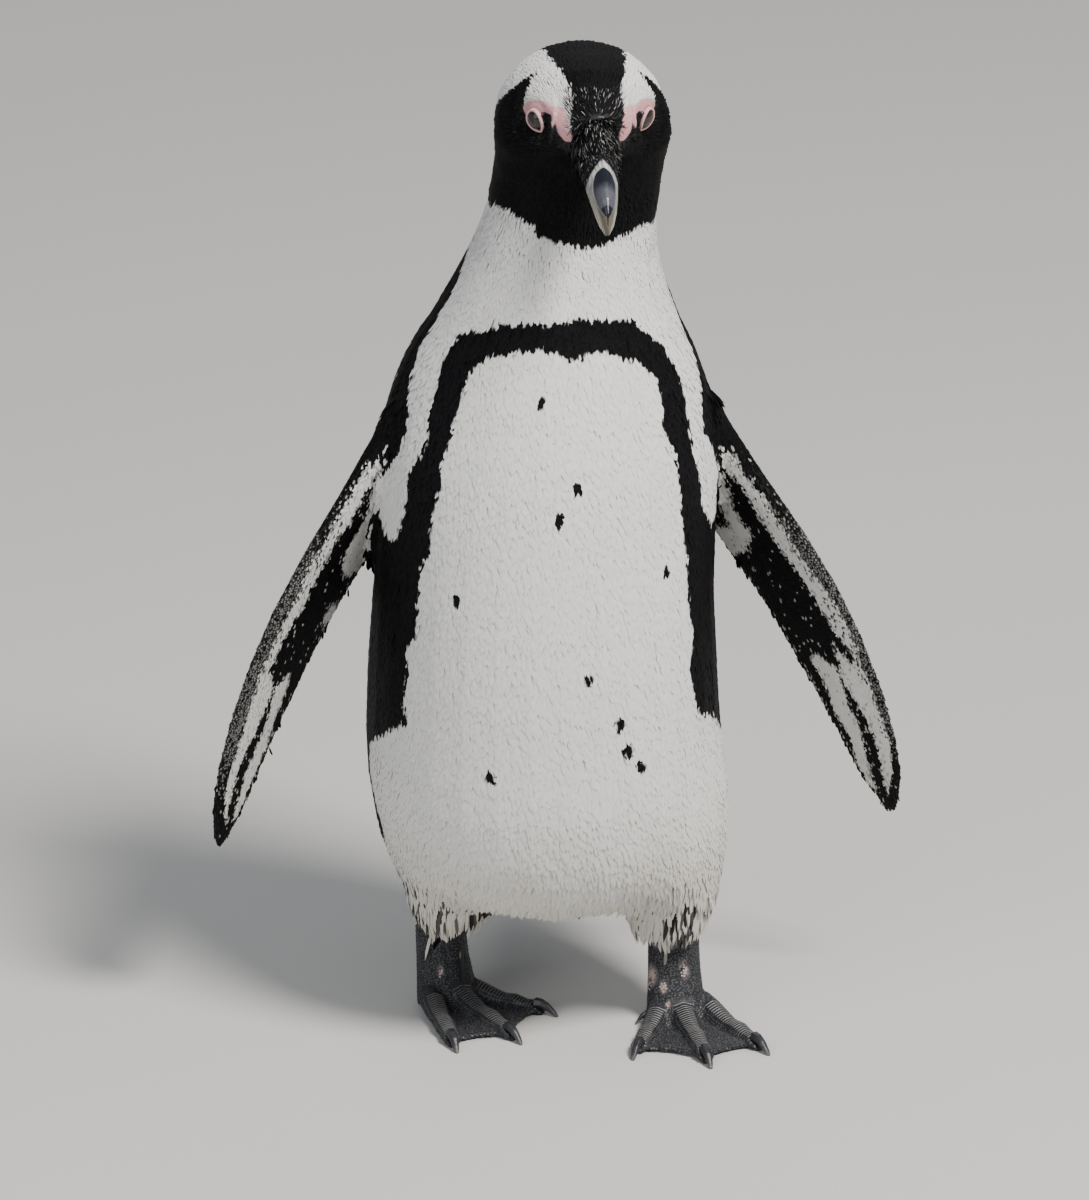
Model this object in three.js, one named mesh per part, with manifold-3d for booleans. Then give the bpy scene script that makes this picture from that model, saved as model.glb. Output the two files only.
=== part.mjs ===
// African penguin at life size: a still model in mid stride, with its head bowed and its flippers held out.
// Millimetres, +Z up, floor at Z = 0. The bird faces -Y, so its own left side is +X.
// "Ahead" is the distance towards the bill, so ahead = -Y.
import * as THREE from "three";
import { mergeVertices } from "three/addons/utils/BufferGeometryUtils.js";
import Module from "manifold-3d";

const wasm = await Module();
wasm.setup();

// ---- Driving dimensions ----

const GAP = 0.3; // kept between neighbouring pieces
const SNUG = 0.45; // cut round a rounded piece, so that its faces stay clear

// Trunk and neck in level slices, from the vent to inside the head: height, sideways and ahead place of the
// widest line, then the half width and the reach to the breast and to the back.
const TORSO = [
  { z: 54, x: 0, ahead: 8, half: 0, breast: 0, back: 0 },
  { z: 60, x: 0, ahead: 10, half: 39, breast: 41, back: 39 },
  { z: 72, x: 0, ahead: 12, half: 59, breast: 61, back: 58 },
  { z: 90, x: -1, ahead: 14, half: 73, breast: 72, back: 69 },
  { z: 110, x: -2, ahead: 15, half: 79, breast: 77, back: 72 },
  { z: 135, x: -3, ahead: 16, half: 81, breast: 79, back: 74 },
  { z: 175, x: -3.4, ahead: 17, half: 79.5, breast: 79, back: 75 },
  { z: 210, x: -3.4, ahead: 18, half: 77.5, breast: 77, back: 74 },
  { z: 246, x: -3, ahead: 19, half: 74, breast: 73, back: 71 },
  { z: 283, x: -1.5, ahead: 20, half: 67, breast: 67, back: 66 },
  { z: 306, x: 0, ahead: 20, half: 62, breast: 61, back: 61 },
  { z: 329, x: 1, ahead: 20, half: 56.5, breast: 54, back: 56 },
  { z: 353, x: 3.5, ahead: 20, half: 48.5, breast: 46, back: 49 },
  { z: 377, x: 7, ahead: 21, half: 41, breast: 40, back: 43 },
  { z: 395, x: 10, ahead: 23, half: 38.5, breast: 36, back: 40 },
  { z: 412, x: 12.3, ahead: 25, half: 38, breast: 31, back: 38 },
  { z: 426, x: 13, ahead: 27, half: 35, breast: 25, back: 36.5 },
  { z: 438, x: 13, ahead: 28, half: 27, breast: 19, back: 30 },
  { z: 448, x: 13, ahead: 26, half: 0, breast: 0, back: 0 },
];
const TORSO_SQUARENESS = 2.15;

// The head's own frame starts at the middle of the gape where the bill leaves the face: "along" runs to the
// bill's tip, "up" to the crown and "side" to the bird's left. It is bowed, turned and tilted from the body's.
const GAPE = { x: 12.5, ahead: 68, z: 429 };
const HEAD_BOW = THREE.MathUtils.degToRad(25);
const HEAD_TURN = THREE.MathUtils.degToRad(-1);
const HEAD_TILT = THREE.MathUtils.degToRad(1.5);
const HEAD = [
  { along: -77, up: -19, half: 0, crown: 0, throat: 0 },
  { along: -73, up: -19, half: 16, crown: 15, throat: 15 },
  { along: -65, up: -19, half: 27, crown: 25, throat: 25 },
  { along: -56, up: -18.5, half: 34.5, crown: 31.5, throat: 31 },
  { along: -46, up: -17.5, half: 38, crown: 34, throat: 32 },
  { along: -35, up: -16, half: 38.5, crown: 36, throat: 28 },
  { along: -25, up: -13, half: 36.5, crown: 35, throat: 22 },
  { along: -15, up: -9, half: 31, crown: 29.5, throat: 17 },
  { along: -7, up: -4, half: 23, crown: 22.5, throat: 12 },
  { along: 0, up: 1, half: 14, crown: 14, throat: 9 },
  { along: 5, up: 2, half: 0, crown: 0, throat: 0 },
];

// Bill: height of its ridge and depth of its keel from the line of the gape, and half width.
const BILL_UPPER = [
  { along: -12, half: 7, ridge: 12 },
  { along: 0, half: 9.6, ridge: 13.6 },
  { along: 12, half: 9, ridge: 12.8 },
  { along: 24, half: 7.6, ridge: 11.6 },
  { along: 34, half: 6.4, ridge: 10.6 },
  { along: 42, half: 5, ridge: 8.8 },
  { along: 48, half: 3.2, ridge: 5.4 },
  { along: 51.5, half: 1.2, ridge: 0.6 },
];
const BILL_HOOK = { from: 33, length: 18, drop: 5 }; // where the gape begins to bend down, and how far
const BILL_LOWER = [
  { along: -12, half: 6, keel: 7.5 },
  { along: 0, half: 8.6, keel: 8.8 },
  { along: 14, half: 7.8, keel: 8.6 },
  { along: 28, half: 6.4, keel: 8 },
  { along: 37, half: 4.8, keel: 6 },
  { along: 44, half: 2.4, keel: 3 },
];

const EYE = { along: -18.8, up: 3, side: 21, radius: 7 };
const EYE_HOLLOW = { along: -9, up: -2, side: 30, reach: [15, 9, 8], soften: 8 }; // the dip between eye and bill

// Flippers: root inside the shoulder and tip, each as sideways (outwards), ahead and height, and how far the
// middle bows outwards.
const FLIPPERS = {
  left: { root: [51, 18, 305], tip: [161, 3, 84], bow: 6 },
  right: { root: [-52, 18, 305], tip: [-150, 3, 84], bow: 8.5 },
};
const FLIPPER_TURN = THREE.MathUtils.degToRad(41); // how far the leading edge turns ahead from straight out
const FLIPPER = [
  { share: 0, chord: 40, thick: 26, lead: 0 },
  { share: 0.12, chord: 46, thick: 22, lead: -3 },
  { share: 0.24, chord: 50, thick: 16, lead: -1.5 },
  { share: 0.36, chord: 49.5, thick: 12, lead: 3 },
  { share: 0.48, chord: 48, thick: 10, lead: 6 },
  { share: 0.6, chord: 45, thick: 8.4, lead: 7 },
  { share: 0.72, chord: 40, thick: 7, lead: 7 },
  { share: 0.83, chord: 33, thick: 5.8, lead: 6 },
  { share: 0.92, chord: 24, thick: 4.8, lead: 4 },
  { share: 0.98, chord: 12, thick: 3.6, lead: 2 },
  { share: 1, chord: 5, thick: 2.6, lead: 0.5 },
];
const SHOULDER = { out: 1.02, lower: 30, reach: [19, 27, 42], soften: 24 }; // the bulge where a flipper joins

// Feathered legs: middle and reach (sideways, ahead, height) of each thigh.
const THIGHS = {
  left: { middle: [52, 29, 82], reach: [27, 33, 49] },
  right: { middle: [-44, 6, 80], reach: [26, 32, 46] },
};
const LEG_CUT_Z = 66; // the trunk ends and the feathered legs begin here
const SHANK_CUT_Z = 37; // the feathers end here

// Feet: where the shank stands over the floor, and how far the middle toe turns outwards.
const FEET = {
  left: { stand: [56, 31], turn: THREE.MathUtils.degToRad(6) },
  right: { stand: [-47, -2], turn: THREE.MathUtils.degToRad(-26) },
};
const SHANK = { half: 12, deep: 10.5, top: 48, lean: 3, flare: 0.25, instep: 0.8 };
const BALL = { ahead: 9, spread: 8.5 }; // where the toes begin, and how far apart
const TOES = [
  { name: "inner", lane: -1.1, angle: -31, length: 37, half: 4.9, high: 9 },
  { name: "middle", lane: 0, angle: 0, length: 50, half: 5.4, high: 10 },
  { name: "outer", lane: 1.45, angle: 20, length: 44, half: 5.2, high: 9.5 },
];
const HIND_TOE = { name: "hind", lane: 0, angle: -70, length: 17, half: 3.2, high: 9 };
const CLAW = { length: 14, half: 2.5, high: 5.6, drop: 3.6 };
const HIND_CLAW = 0.5; // size against the other claws
const WEB = { low: 1, high: 3.2, reach: 0.94, dip: 0.86 };

// Tail: from inside the rump to its tip, and the rump that narrows towards it.
const RUMP = { middle: [-1, -34, 98], reach: [38, 29, 34], soften: 30 };
const TAIL = { root: [-1, -50, 90], tip: [-1, -108, 24] };
const TAIL_SECTIONS = [
  { share: 0, half: 22, thick: 20 },
  { share: 0.25, half: 23, thick: 15 },
  { share: 0.5, half: 21, thick: 10.5 },
  { share: 0.75, half: 15.5, thick: 7 },
  { share: 0.92, half: 9, thick: 4.5 },
  { share: 1, half: 4.5, thick: 3 },
];

// Faces round each piece.
const ROUND = { trunk: 32, neck: 32, head: 32, leg: 18, flipper: 16, toe: 8, shank: 12, tail: 14, claw: 6 };
const LEVELS = { trunk: 24, neck: 7, head: 22, leg: 6 };

// Cuts across the neck: height on the body's midline and slope, rising towards the back.
const THROAT_CUT = { z: 392, ahead: 22, slope: 0.2 };
const NECK_CUT = { z: 338, ahead: 20, slope: 0.15 };

// ---- Small tools ----

// A smooth curve through the rows' values, flat where they turn.
function through(rows, at, value) {
  const u = rows.map((row) => row[at]);
  const v = rows.map(value);
  const last = u.length - 1;
  const rise = u.slice(1).map((next, i) => (v[i + 1] - v[i]) / (next - u[i]));
  const slope = u.map((_, i) => {
    if (i === 0) return rise[0];
    if (i === last) return rise[last - 1];
    if (rise[i - 1] * rise[i] <= 0) return 0;
    return (2 * rise[i - 1] * rise[i]) / (rise[i - 1] + rise[i]);
  });
  return (x) => {
    if (x <= u[0]) return v[0];
    if (x >= u[last]) return v[last];
    let i = 0;
    while (x > u[i + 1]) i++;
    const step = u[i + 1] - u[i];
    const t = (x - u[i]) / step;
    const back = 1 - t;
    return (
      v[i] * (1 + 2 * t) * back * back +
      slope[i] * step * t * back * back +
      v[i + 1] * t * t * (3 - 2 * t) -
      slope[i + 1] * step * t * t * back
    );
  };
}

// A radius that closes roundly where it reaches zero.
function roundly(rows, at, key) {
  const square = through(rows, at, (row) => row[key] ** 2);
  return (x) => Math.sqrt(Math.max(square(x), 0));
}

// Joins two distances with a fillet of about the given size.
function blend(a, b, size) {
  const near = Math.max(size - Math.abs(a - b), 0) / size;
  return Math.min(a, b) - near * near * size * 0.25;
}

function ellipsoid([x, ahead, z], [rx, ra, rz], px, pa, pz) {
  const dx = (px - x) / rx;
  const da = (pa - ahead) / ra;
  const dz = (pz - z) / rz;
  return (Math.hypot(dx, da, dz) - 1) * Math.min(rx, ra, rz);
}

// How far a point lies outside a slice of two reaches; past the ends of the slices the overshoot counts too.
function outsideSlice(dx, dy, rx, ry, power, past) {
  const small = Math.min(rx, ry);
  if (small < 0.5) return Math.hypot(dx, dy, past);
  const q = (Math.abs(dx / rx) ** power + Math.abs(dy / ry) ** power) ** (1 / power);
  return Math.hypot(Math.max((q - 1) * small, 0), past) + Math.min((q - 1) * small, 0);
}

// ---- The body as one smooth form ----

const torso = {
  x: through(TORSO, "z", (row) => row.x),
  ahead: through(TORSO, "z", (row) => row.ahead),
  half: roundly(TORSO, "z", "half"),
  breast: roundly(TORSO, "z", "breast"),
  back: roundly(TORSO, "z", "back"),
};

function torsoField(x, ahead, z) {
  const level = THREE.MathUtils.clamp(z, TORSO[0].z + 0.05, TORSO.at(-1).z - 0.05);
  const dx = x - torso.x(level);
  const da = ahead - torso.ahead(level);
  const reach = da > 0 ? torso.breast(level) : torso.back(level);
  return outsideSlice(dx, da, torso.half(level), reach, TORSO_SQUARENESS, Math.abs(z - level));
}

// From the head's frame to the body's.
const headFrame = new THREE.Matrix4()
  .makeTranslation(GAPE.x, -GAPE.ahead, GAPE.z)
  .multiply(new THREE.Matrix4().makeRotationFromEuler(new THREE.Euler(HEAD_BOW, HEAD_TILT, HEAD_TURN, "ZXY")));
const headFrameBack = headFrame.clone().invert();

function inHead(along, up, side) {
  return new THREE.Vector3(side, -along, up).applyMatrix4(headFrame);
}

const skull = {
  up: through(HEAD, "along", (row) => row.up),
  half: roundly(HEAD, "along", "half"),
  crown: roundly(HEAD, "along", "crown"),
  throat: roundly(HEAD, "along", "throat"),
};

function headField(x, ahead, z) {
  const own = new THREE.Vector3(x, -ahead, z).applyMatrix4(headFrameBack);
  const along = -own.y;
  const level = THREE.MathUtils.clamp(along, HEAD[0].along + 0.05, HEAD.at(-1).along - 0.05);
  const up = own.z - skull.up(level);
  const reach = up > 0 ? skull.crown(level) : skull.throat(level);
  const field = outsideSlice(own.x, up, skull.half(level), reach, 2, Math.abs(along - level));
  const { reach: dip, soften } = EYE_HOLLOW;
  const place = [EYE_HOLLOW.side, EYE_HOLLOW.along, EYE_HOLLOW.up];
  const hollow = ellipsoid(place, [dip[1], dip[0], dip[2]], Math.abs(own.x), along, own.z);
  return -blend(-field, hollow, soften);
}

function bodyField(x, ahead, z) {
  let field = torsoField(x, ahead, z);
  if (z > 340) field = blend(field, headField(x, ahead, z), 9);
  if (z < 220) field = blend(field, ellipsoid(RUMP.middle, RUMP.reach, x, ahead, z), RUMP.soften);
  for (const side of ["left", "right"]) {
    const { middle, reach } = THIGHS[side];
    if (z < 180) field = blend(field, ellipsoid(middle, reach, x, ahead, z), 22);
    const [sx, sa, sz] = FLIPPERS[side].root;
    if (z > 200 && z < 380) {
      const bulge = ellipsoid([sx * SHOULDER.out, sa, sz - SHOULDER.lower], SHOULDER.reach, x, ahead, z);
      field = blend(field, bulge, SHOULDER.soften);
    }
  }
  return field;
}

// ---- Turning shapes into solids ----

function solidFrom(geometry) {
  const plain = geometry.clone();
  plain.deleteAttribute("normal");
  plain.deleteAttribute("uv");
  const merged = mergeVertices(plain, 1e-4);
  const mesh = new wasm.Mesh({
    numProp: 3,
    vertProperties: merged.attributes.position.array,
    triVerts: new Uint32Array(merged.index.array),
  });
  return new wasm.Manifold(mesh);
}

function geometryFrom(solid) {
  const mesh = solid.getMesh();
  const geometry = new THREE.BufferGeometry();
  const positions = new Float32Array(mesh.numVert * 3);
  for (let i = 0; i < mesh.numVert; i++) {
    positions.set(mesh.vertProperties.subarray(i * mesh.numProp, i * mesh.numProp + 3), i * 3);
  }
  geometry.setAttribute("position", new THREE.BufferAttribute(positions, 3));
  geometry.setIndex(new THREE.BufferAttribute(mesh.triVerts, 1));
  return geometry;
}

// A closed solid from rings of points, each ring with the same count, capped at both ends.
function loft(rings) {
  const count = rings[0].length;
  const positions = rings.flat().flatMap((p) => [p.x, p.y, p.z]);
  const faces = [];
  for (let r = 0; r + 1 < rings.length; r++) {
    for (let i = 0; i < count; i++) {
      const j = (i + 1) % count;
      const a = r * count + i;
      const b = r * count + j;
      faces.push(a, b, a + count, b, b + count, a + count);
    }
  }
  for (const ring of [0, rings.length - 1]) {
    const middle = rings[ring].reduce((sum, p) => sum.add(p), new THREE.Vector3()).divideScalar(count);
    const centre = positions.length / 3;
    positions.push(middle.x, middle.y, middle.z);
    for (let i = 0; i < count; i++) {
      const a = ring * count + i;
      const b = ring * count + ((i + 1) % count);
      faces.push(...(ring === 0 ? [centre, b, a] : [centre, a, b]));
    }
  }
  const geometry = new THREE.BufferGeometry();
  geometry.setAttribute("position", new THREE.Float32BufferAttribute(positions, 3));
  geometry.setIndex(faces);
  const solid = solidFrom(geometry);
  if (solid.volume() > 0) return solid;
  for (let i = 0; i < faces.length; i += 3) [faces[i + 1], faces[i + 2]] = [faces[i + 2], faces[i + 1]];
  geometry.setIndex(faces);
  return solidFrom(geometry);
}

function box(low, high) {
  const size = high.map((value, i) => value - low[i]);
  const geometry = new THREE.BoxGeometry(...size);
  geometry.translate(...high.map((value, i) => (value + low[i]) / 2));
  return solidFrom(geometry);
}

// The half space under a sloping cut, as a large block.
function under({ z, ahead, slope }, offset) {
  const REACH = 400;
  const geometry = new THREE.BoxGeometry(REACH, REACH, REACH);
  geometry.translate(0, 0, -REACH / 2);
  geometry.rotateX(Math.atan(slope));
  geometry.translate(0, -ahead, z + offset);
  return solidFrom(geometry);
}

// Where a ray from inside the body leaves it.
function cast(field, from, direction, grow = 0) {
  const FAR = 220;
  const value = (reach) => {
    const p = from.clone().addScaledVector(direction, reach);
    return field(p.x, -p.y, p.z) - grow;
  };
  let near = 0;
  let far = 2;
  while (far < FAR && value(far) < 0) {
    near = far;
    far += 2;
  }
  for (let round = 0; round < 14; round++) {
    const middle = (near + far) / 2;
    if (value(middle) < 0) near = middle;
    else far = middle;
  }
  return from.clone().addScaledVector(direction, far);
}

// A slice of the body between two sloping cuts, in rings round the middle of the torso.
function bodySlice(low, high, levels, count, grow = 0) {
  const rings = [];
  for (let r = 0; r <= levels; r++) {
    const share = r / levels;
    const cut = (key) => THREE.MathUtils.lerp(low[key], high[key], share);
    const ahead = torso.ahead(cut("z"));
    const z = cut("z") + cut("slope") * (cut("ahead") - ahead);
    const middle = new THREE.Vector3(torso.x(z), -ahead, z);
    rings.push(
      Array.from({ length: count }, (_, i) => {
        const turn = (2 * Math.PI * i) / count;
        const across = new THREE.Vector3(Math.cos(turn), Math.sin(turn), Math.sin(turn) * cut("slope"));
        return cast(bodyField, middle, across, grow);
      }),
    );
  }
  return loft(rings);
}

// A closed form round a middle point, in rings about a pole; a half sweep leaves it flat across the middle.
function globe(field, middle, pole, levels, count, sweep = Math.PI) {
  const first = new THREE.Vector3(1, 0, 0).addScaledVector(pole, -pole.x).normalize();
  const second = new THREE.Vector3().crossVectors(pole, first);
  const rings = [];
  for (let r = 0; r <= levels; r++) {
    const angle = Math.min((sweep * Math.max(r, 0.15)) / levels, Math.PI * (1 - 0.15 / levels));
    rings.push(
      Array.from({ length: count }, (_, i) => {
        const turn = (2 * Math.PI * i) / count;
        const direction = pole
          .clone()
          .multiplyScalar(Math.cos(angle))
          .addScaledVector(first, Math.sin(angle) * Math.cos(turn))
          .addScaledVector(second, Math.sin(angle) * Math.sin(turn));
        return cast(field, middle, direction);
      }),
    );
  }
  return loft(rings);
}

// ---- Bill ----

// Half a bill: its section is an arch from the gape, upwards or downwards, and the gape bends down to the hook.
function billHalf(rows, key, sign, grow) {
  const SIDES = 9;
  return loft(
    rows.map((row, r) => {
      const drop = BILL_HOOK.drop * Math.max((row.along - BILL_HOOK.from) / BILL_HOOK.length, 0) ** 2;
      const half = row.half + grow;
      const high = row[key] + (sign > 0 ? 0.75 : -0.75) * drop + 2 * grow;
      const along = row.along + (r === 0 ? -grow : 0) + (r === rows.length - 1 ? grow : 0);
      return Array.from({ length: SIDES + 1 }, (_, i) => {
        const turn = (Math.PI * i) / SIDES;
        const up = sign * (GAP * 0.5 + high * Math.sin(turn) ** 0.85 - grow) - drop;
        return inHead(along, up, half * Math.cos(turn) * (1 - 0.25 * Math.sin(turn) ** 2));
      });
    }),
  );
}

const upperBill = (grow) => billHalf(BILL_UPPER, "ridge", 1, grow);
const lowerBill = (grow) => billHalf(BILL_LOWER, "keel", -1, grow);

// ---- Eyes ----

function eyeBall(side, grow) {
  const geometry = new THREE.SphereGeometry(EYE.radius + grow, 14, 8);
  const centre = inHead(EYE.along, EYE.up, side * EYE.side);
  geometry.translate(centre.x, centre.y, centre.z);
  return solidFrom(geometry);
}

// ---- Flippers ----

function flipper(side, grow = 0) {
  const SIDES = ROUND.flipper;
  const { root, tip, bow } = FLIPPERS[side];
  const from = new THREE.Vector3(root[0], -root[1], root[2]);
  const span = new THREE.Vector3(tip[0], -tip[1], tip[2]).sub(from);
  const out = Math.sign(root[0]);
  const lead = new THREE.Vector3(out * Math.cos(FLIPPER_TURN), -Math.sin(FLIPPER_TURN), 0);
  const along = span.clone().normalize();
  lead.addScaledVector(along, -lead.dot(along)).normalize();
  const flat = new THREE.Vector3().crossVectors(along, lead);
  return loft(
    FLIPPER.map((row) => {
      const middle = from.clone().addScaledVector(span, row.share).addScaledVector(lead, row.lead);
      middle.x += out * bow * Math.sin(Math.PI * row.share);
      const ring = [];
      for (let i = 0; i < SIDES; i++) {
        const turn = (2 * Math.PI * i) / SIDES;
        const fore = Math.cos(turn);
        const fat = Math.sin(turn) * (0.78 + 0.3 * fore);
        ring.push(
          middle
            .clone()
            .addScaledVector(lead, (row.chord / 2 + grow) * fore)
            .addScaledVector(flat, (row.thick / 2 + grow) * fat),
        );
      }
      return ring;
    }),
  );
}

// ---- Tail ----

function tail() {
  const SIDES = ROUND.tail;
  const from = new THREE.Vector3(TAIL.root[0], -TAIL.root[1], TAIL.root[2]);
  const span = new THREE.Vector3(TAIL.tip[0], -TAIL.tip[1], TAIL.tip[2]).sub(from);
  const across = new THREE.Vector3(1, 0, 0);
  const thick = new THREE.Vector3().crossVectors(span, across).normalize();
  return loft(
    TAIL_SECTIONS.map((row) => {
      const middle = from.clone().addScaledVector(span, row.share);
      return Array.from({ length: SIDES }, (_, i) => {
        const turn = (2 * Math.PI * i) / SIDES;
        return middle
          .clone()
          .addScaledVector(across, row.half * Math.cos(turn))
          .addScaledVector(thick, (row.thick / 2) * Math.sin(turn));
      });
    }),
  );
}

// ---- Feet ----

// A toe's or claw's tube in its own frame: reach along the toe, height and half sizes.
function toeTube(rows, heading, origin, sides = ROUND.toe) {
  const side = new THREE.Vector3(-heading.y, heading.x, 0);
  return loft(
    rows.map((row) =>
      Array.from({ length: sides }, (_, i) => {
        const turn = (2 * Math.PI * i) / sides;
        return origin
          .clone()
          .addScaledVector(heading, row.reach)
          .addScaledVector(side, row.half * Math.cos(turn))
          .setZ(row.z + row.high * Math.sin(turn));
      }),
    ),
  );
}

// The sections of a toe: a fat base, two knuckles and a blunt tip.
function toeRows({ length, half, high }) {
  const section = (share, wide, thick) => {
    return { reach: length * share, half: half * wide, high: (high * thick) / 2, z: (high * thick) / 2 - 0.6 };
  };
  return [
    section(-0.1, 1.15, 1.5),
    section(0.12, 1.15, 1.3),
    section(0.32, 1.05, 1),
    section(0.46, 0.9, 0.85),
    section(0.6, 1, 0.9),
    section(0.76, 0.82, 0.74),
    section(0.9, 0.86, 0.76),
    section(1, 0.5, 0.5),
  ];
}

function clawRows({ length, high, name }, grow) {
  const size = name === "hind" ? HIND_CLAW : 1;
  return [0, 0.25, 0.5, 0.75, 1].map((share) => ({
    reach: length * 0.88 + size * CLAW.length * share + (share === 1 ? grow : 0) - (share === 0 ? grow : 0),
    half: size * CLAW.half * (1 - share) ** 0.6 + 0.35 + grow,
    high: size * CLAW.high * 0.5 * (1 - share) ** 0.7 + 0.35 + grow,
    z: high * 0.36 + size * (2 * (1 - (2 * share - 0.5) ** 2) - CLAW.drop * share * share),
  }));
}

function footPieces(side) {
  const { stand: place, turn } = FEET[side];
  const out = Math.sign(place[0]);
  const stand = new THREE.Vector3(place[0], -place[1], 0);
  const heading = (angle) => {
    const whole = turn + THREE.MathUtils.degToRad(angle);
    return new THREE.Vector3(out * Math.sin(whole), -Math.cos(whole), 0);
  };
  const ahead = heading(0);
  const outwards = heading(90);
  const ball = stand.clone().addScaledVector(ahead, BALL.ahead);
  const toes = [...TOES, HIND_TOE];
  const starts = toes.map((toe) => {
    return toe === HIND_TOE ? stand.clone() : ball.clone().addScaledVector(outwards, toe.lane * BALL.spread);
  });
  const limb = (i) => toeTube(toeRows(toes[i]), heading(toes[i].angle), starts[i]);
  const claw = (i, grow) => toeTube(clawRows(toes[i], grow), heading(toes[i].angle), starts[i], ROUND.claw);

  // The shank widens into the instep, whose front slopes down to the toes.
  const shankRings = [0, 0.12, 0.3, 0.5, 0.75, 1].map((share) => {
    const foot = (1 - share) ** 3;
    const middle = stand.clone().addScaledVector(ahead, 7 * foot - SHANK.lean * share);
    const wide = SHANK.half * (1 + SHANK.flare * foot);
    const deep = SHANK.deep * (1 + SHANK.instep * foot);
    return Array.from({ length: ROUND.shank }, (_, i) => {
      const angle = (2 * Math.PI * i) / ROUND.shank;
      return middle
        .clone()
        .addScaledVector(ahead, deep * Math.cos(angle))
        .addScaledVector(outwards, wide * Math.sin(angle))
        .setZ(-1 + (SHANK.top + 1) * share);
    });
  });

  const tips = TOES.map((toe, i) => starts[i].clone().addScaledVector(heading(toe.angle), toe.length * WEB.reach));
  const outline = new THREE.Shape();
  outline.moveTo(ball.x, ball.y);
  outline.lineTo(tips[0].x, tips[0].y);
  for (let i = 0; i < 2; i++) {
    const dip = tips[i].clone().lerp(tips[i + 1], 0.5).sub(ball).multiplyScalar(WEB.dip).add(ball);
    outline.quadraticCurveTo(dip.x, dip.y, tips[i + 1].x, tips[i + 1].y);
  }
  outline.lineTo(ball.x, ball.y);
  const web = new THREE.ExtrudeGeometry(outline, { depth: WEB.high - WEB.low, bevelEnabled: false, curveSegments: 4 });
  web.translate(0, 0, WEB.low);

  let foot = loft(shankRings).add(solidFrom(web));
  toes.forEach((_, i) => (foot = foot.add(limb(i))));
  toes.forEach((_, i) => (foot = foot.subtract(claw(i, SNUG))));
  const pieces = new Map([[`foot_${side}`, foot.intersect(box([-200, -200, 0], [200, 200, SHANK_CUT_Z - GAP]))]]);
  const overFloor = box([-200, -200, 0], [200, 200, 60]);
  toes.forEach((toe, i) => pieces.set(`claw_${side}_${toe.name}`, claw(i, 0).intersect(overFloor)));
  return pieces;
}

// ---- Putting the bird together ----

const COLOURS = {
  white: { color: 0xe6e4de, roughness: 0.8 },
  black: { color: 0x1a1b1d, roughness: 0.7 },
  foot: { color: 0x26272a, roughness: 0.6 },
  claw: { color: 0x15151a, roughness: 0.35 },
  bill: { color: 0x202126, roughness: 0.4 },
  eye: { color: 0x1c120d, roughness: 0.05 },
};
const materials = Object.fromEntries(
  Object.entries(COLOURS).map(([name, look]) => [name, new THREE.MeshStandardMaterial({ ...look, metalness: 0 })]),
);

const penguin = new THREE.Group();

function place(name, solid, material) {
  const mesh = new THREE.Mesh(geometryFrom(solid), materials[material]);
  mesh.name = name;
  penguin.add(mesh);
}

const billSocket = upperBill(SNUG).add(lowerBill(SNUG));
const nape = inHead(-38, -8, 0);
const billwards = inHead(1, 0, 0).sub(inHead(0, 0, 0));
const headForm = (x, ahead, z) => Math.max(bodyField(x, ahead, z), 372 - z);
const head = globe(headForm, nape, billwards, LEVELS.head, ROUND.head)
  .subtract(under(THROAT_CUT, 0))
  .subtract(billSocket)
  .subtract(eyeBall(1, SNUG))
  .subtract(eyeBall(-1, SNUG));
place("head", head, "black");
place("bill_upper", upperBill(0), "bill");
place("bill_lower", lowerBill(0), "bill");
place("eye_left", eyeBall(1, 0), "eye");
place("eye_right", eyeBall(-1, 0), "eye");

const lowered = (cut) => ({ ...cut, z: cut.z - GAP });
const LEG_TOP = { z: LEG_CUT_Z, ahead: 15, slope: 0 };
place("neck", bodySlice(NECK_CUT, lowered(THROAT_CUT), LEVELS.neck, ROUND.neck), "white");
place("trunk", bodySlice(LEG_TOP, lowered(NECK_CUT), LEVELS.trunk, ROUND.trunk), "white");

const trunkRoom = bodySlice({ ...LEG_TOP, z: 64 }, { ...NECK_CUT, z: 362 }, LEVELS.trunk, ROUND.trunk, SNUG);
for (const side of ["left", "right"]) {
  const out = side === "left" ? 1 : -1;
  const { middle } = THIGHS[side];
  const hip = new THREE.Vector3(middle[0] * 0.85, -middle[1], LEG_CUT_Z - GAP);
  const legForm = (x, ahead, z) => Math.max(bodyField(x, ahead, z), SHANK_CUT_Z - z, GAP / 2 - x * out);
  const downwards = new THREE.Vector3(0, 0, -1);
  place(`leg_${side}`, globe(legForm, hip, downwards, LEVELS.leg, ROUND.leg, Math.PI / 2), "white");
  for (const [name, solid] of footPieces(side)) place(name, solid, name.startsWith("claw") ? "claw" : "foot");
  place(`flipper_${side}`, flipper(side).subtract(trunkRoom), "black");
}
place("tail", tail().subtract(trunkRoom), "black");

// The origin is the middle of the bird's box, on the floor.
const extent = new THREE.Box3().setFromObject(penguin);
penguin.position.set(-(extent.min.x + extent.max.x) / 2, -(extent.min.y + extent.max.y) / 2, -extent.min.z);

export default penguin;
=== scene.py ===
import math

import bmesh
import bpy
import numpy as np
from mathutils import Matrix, Vector
from mathutils.bvhtree import BVHTree


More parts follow.
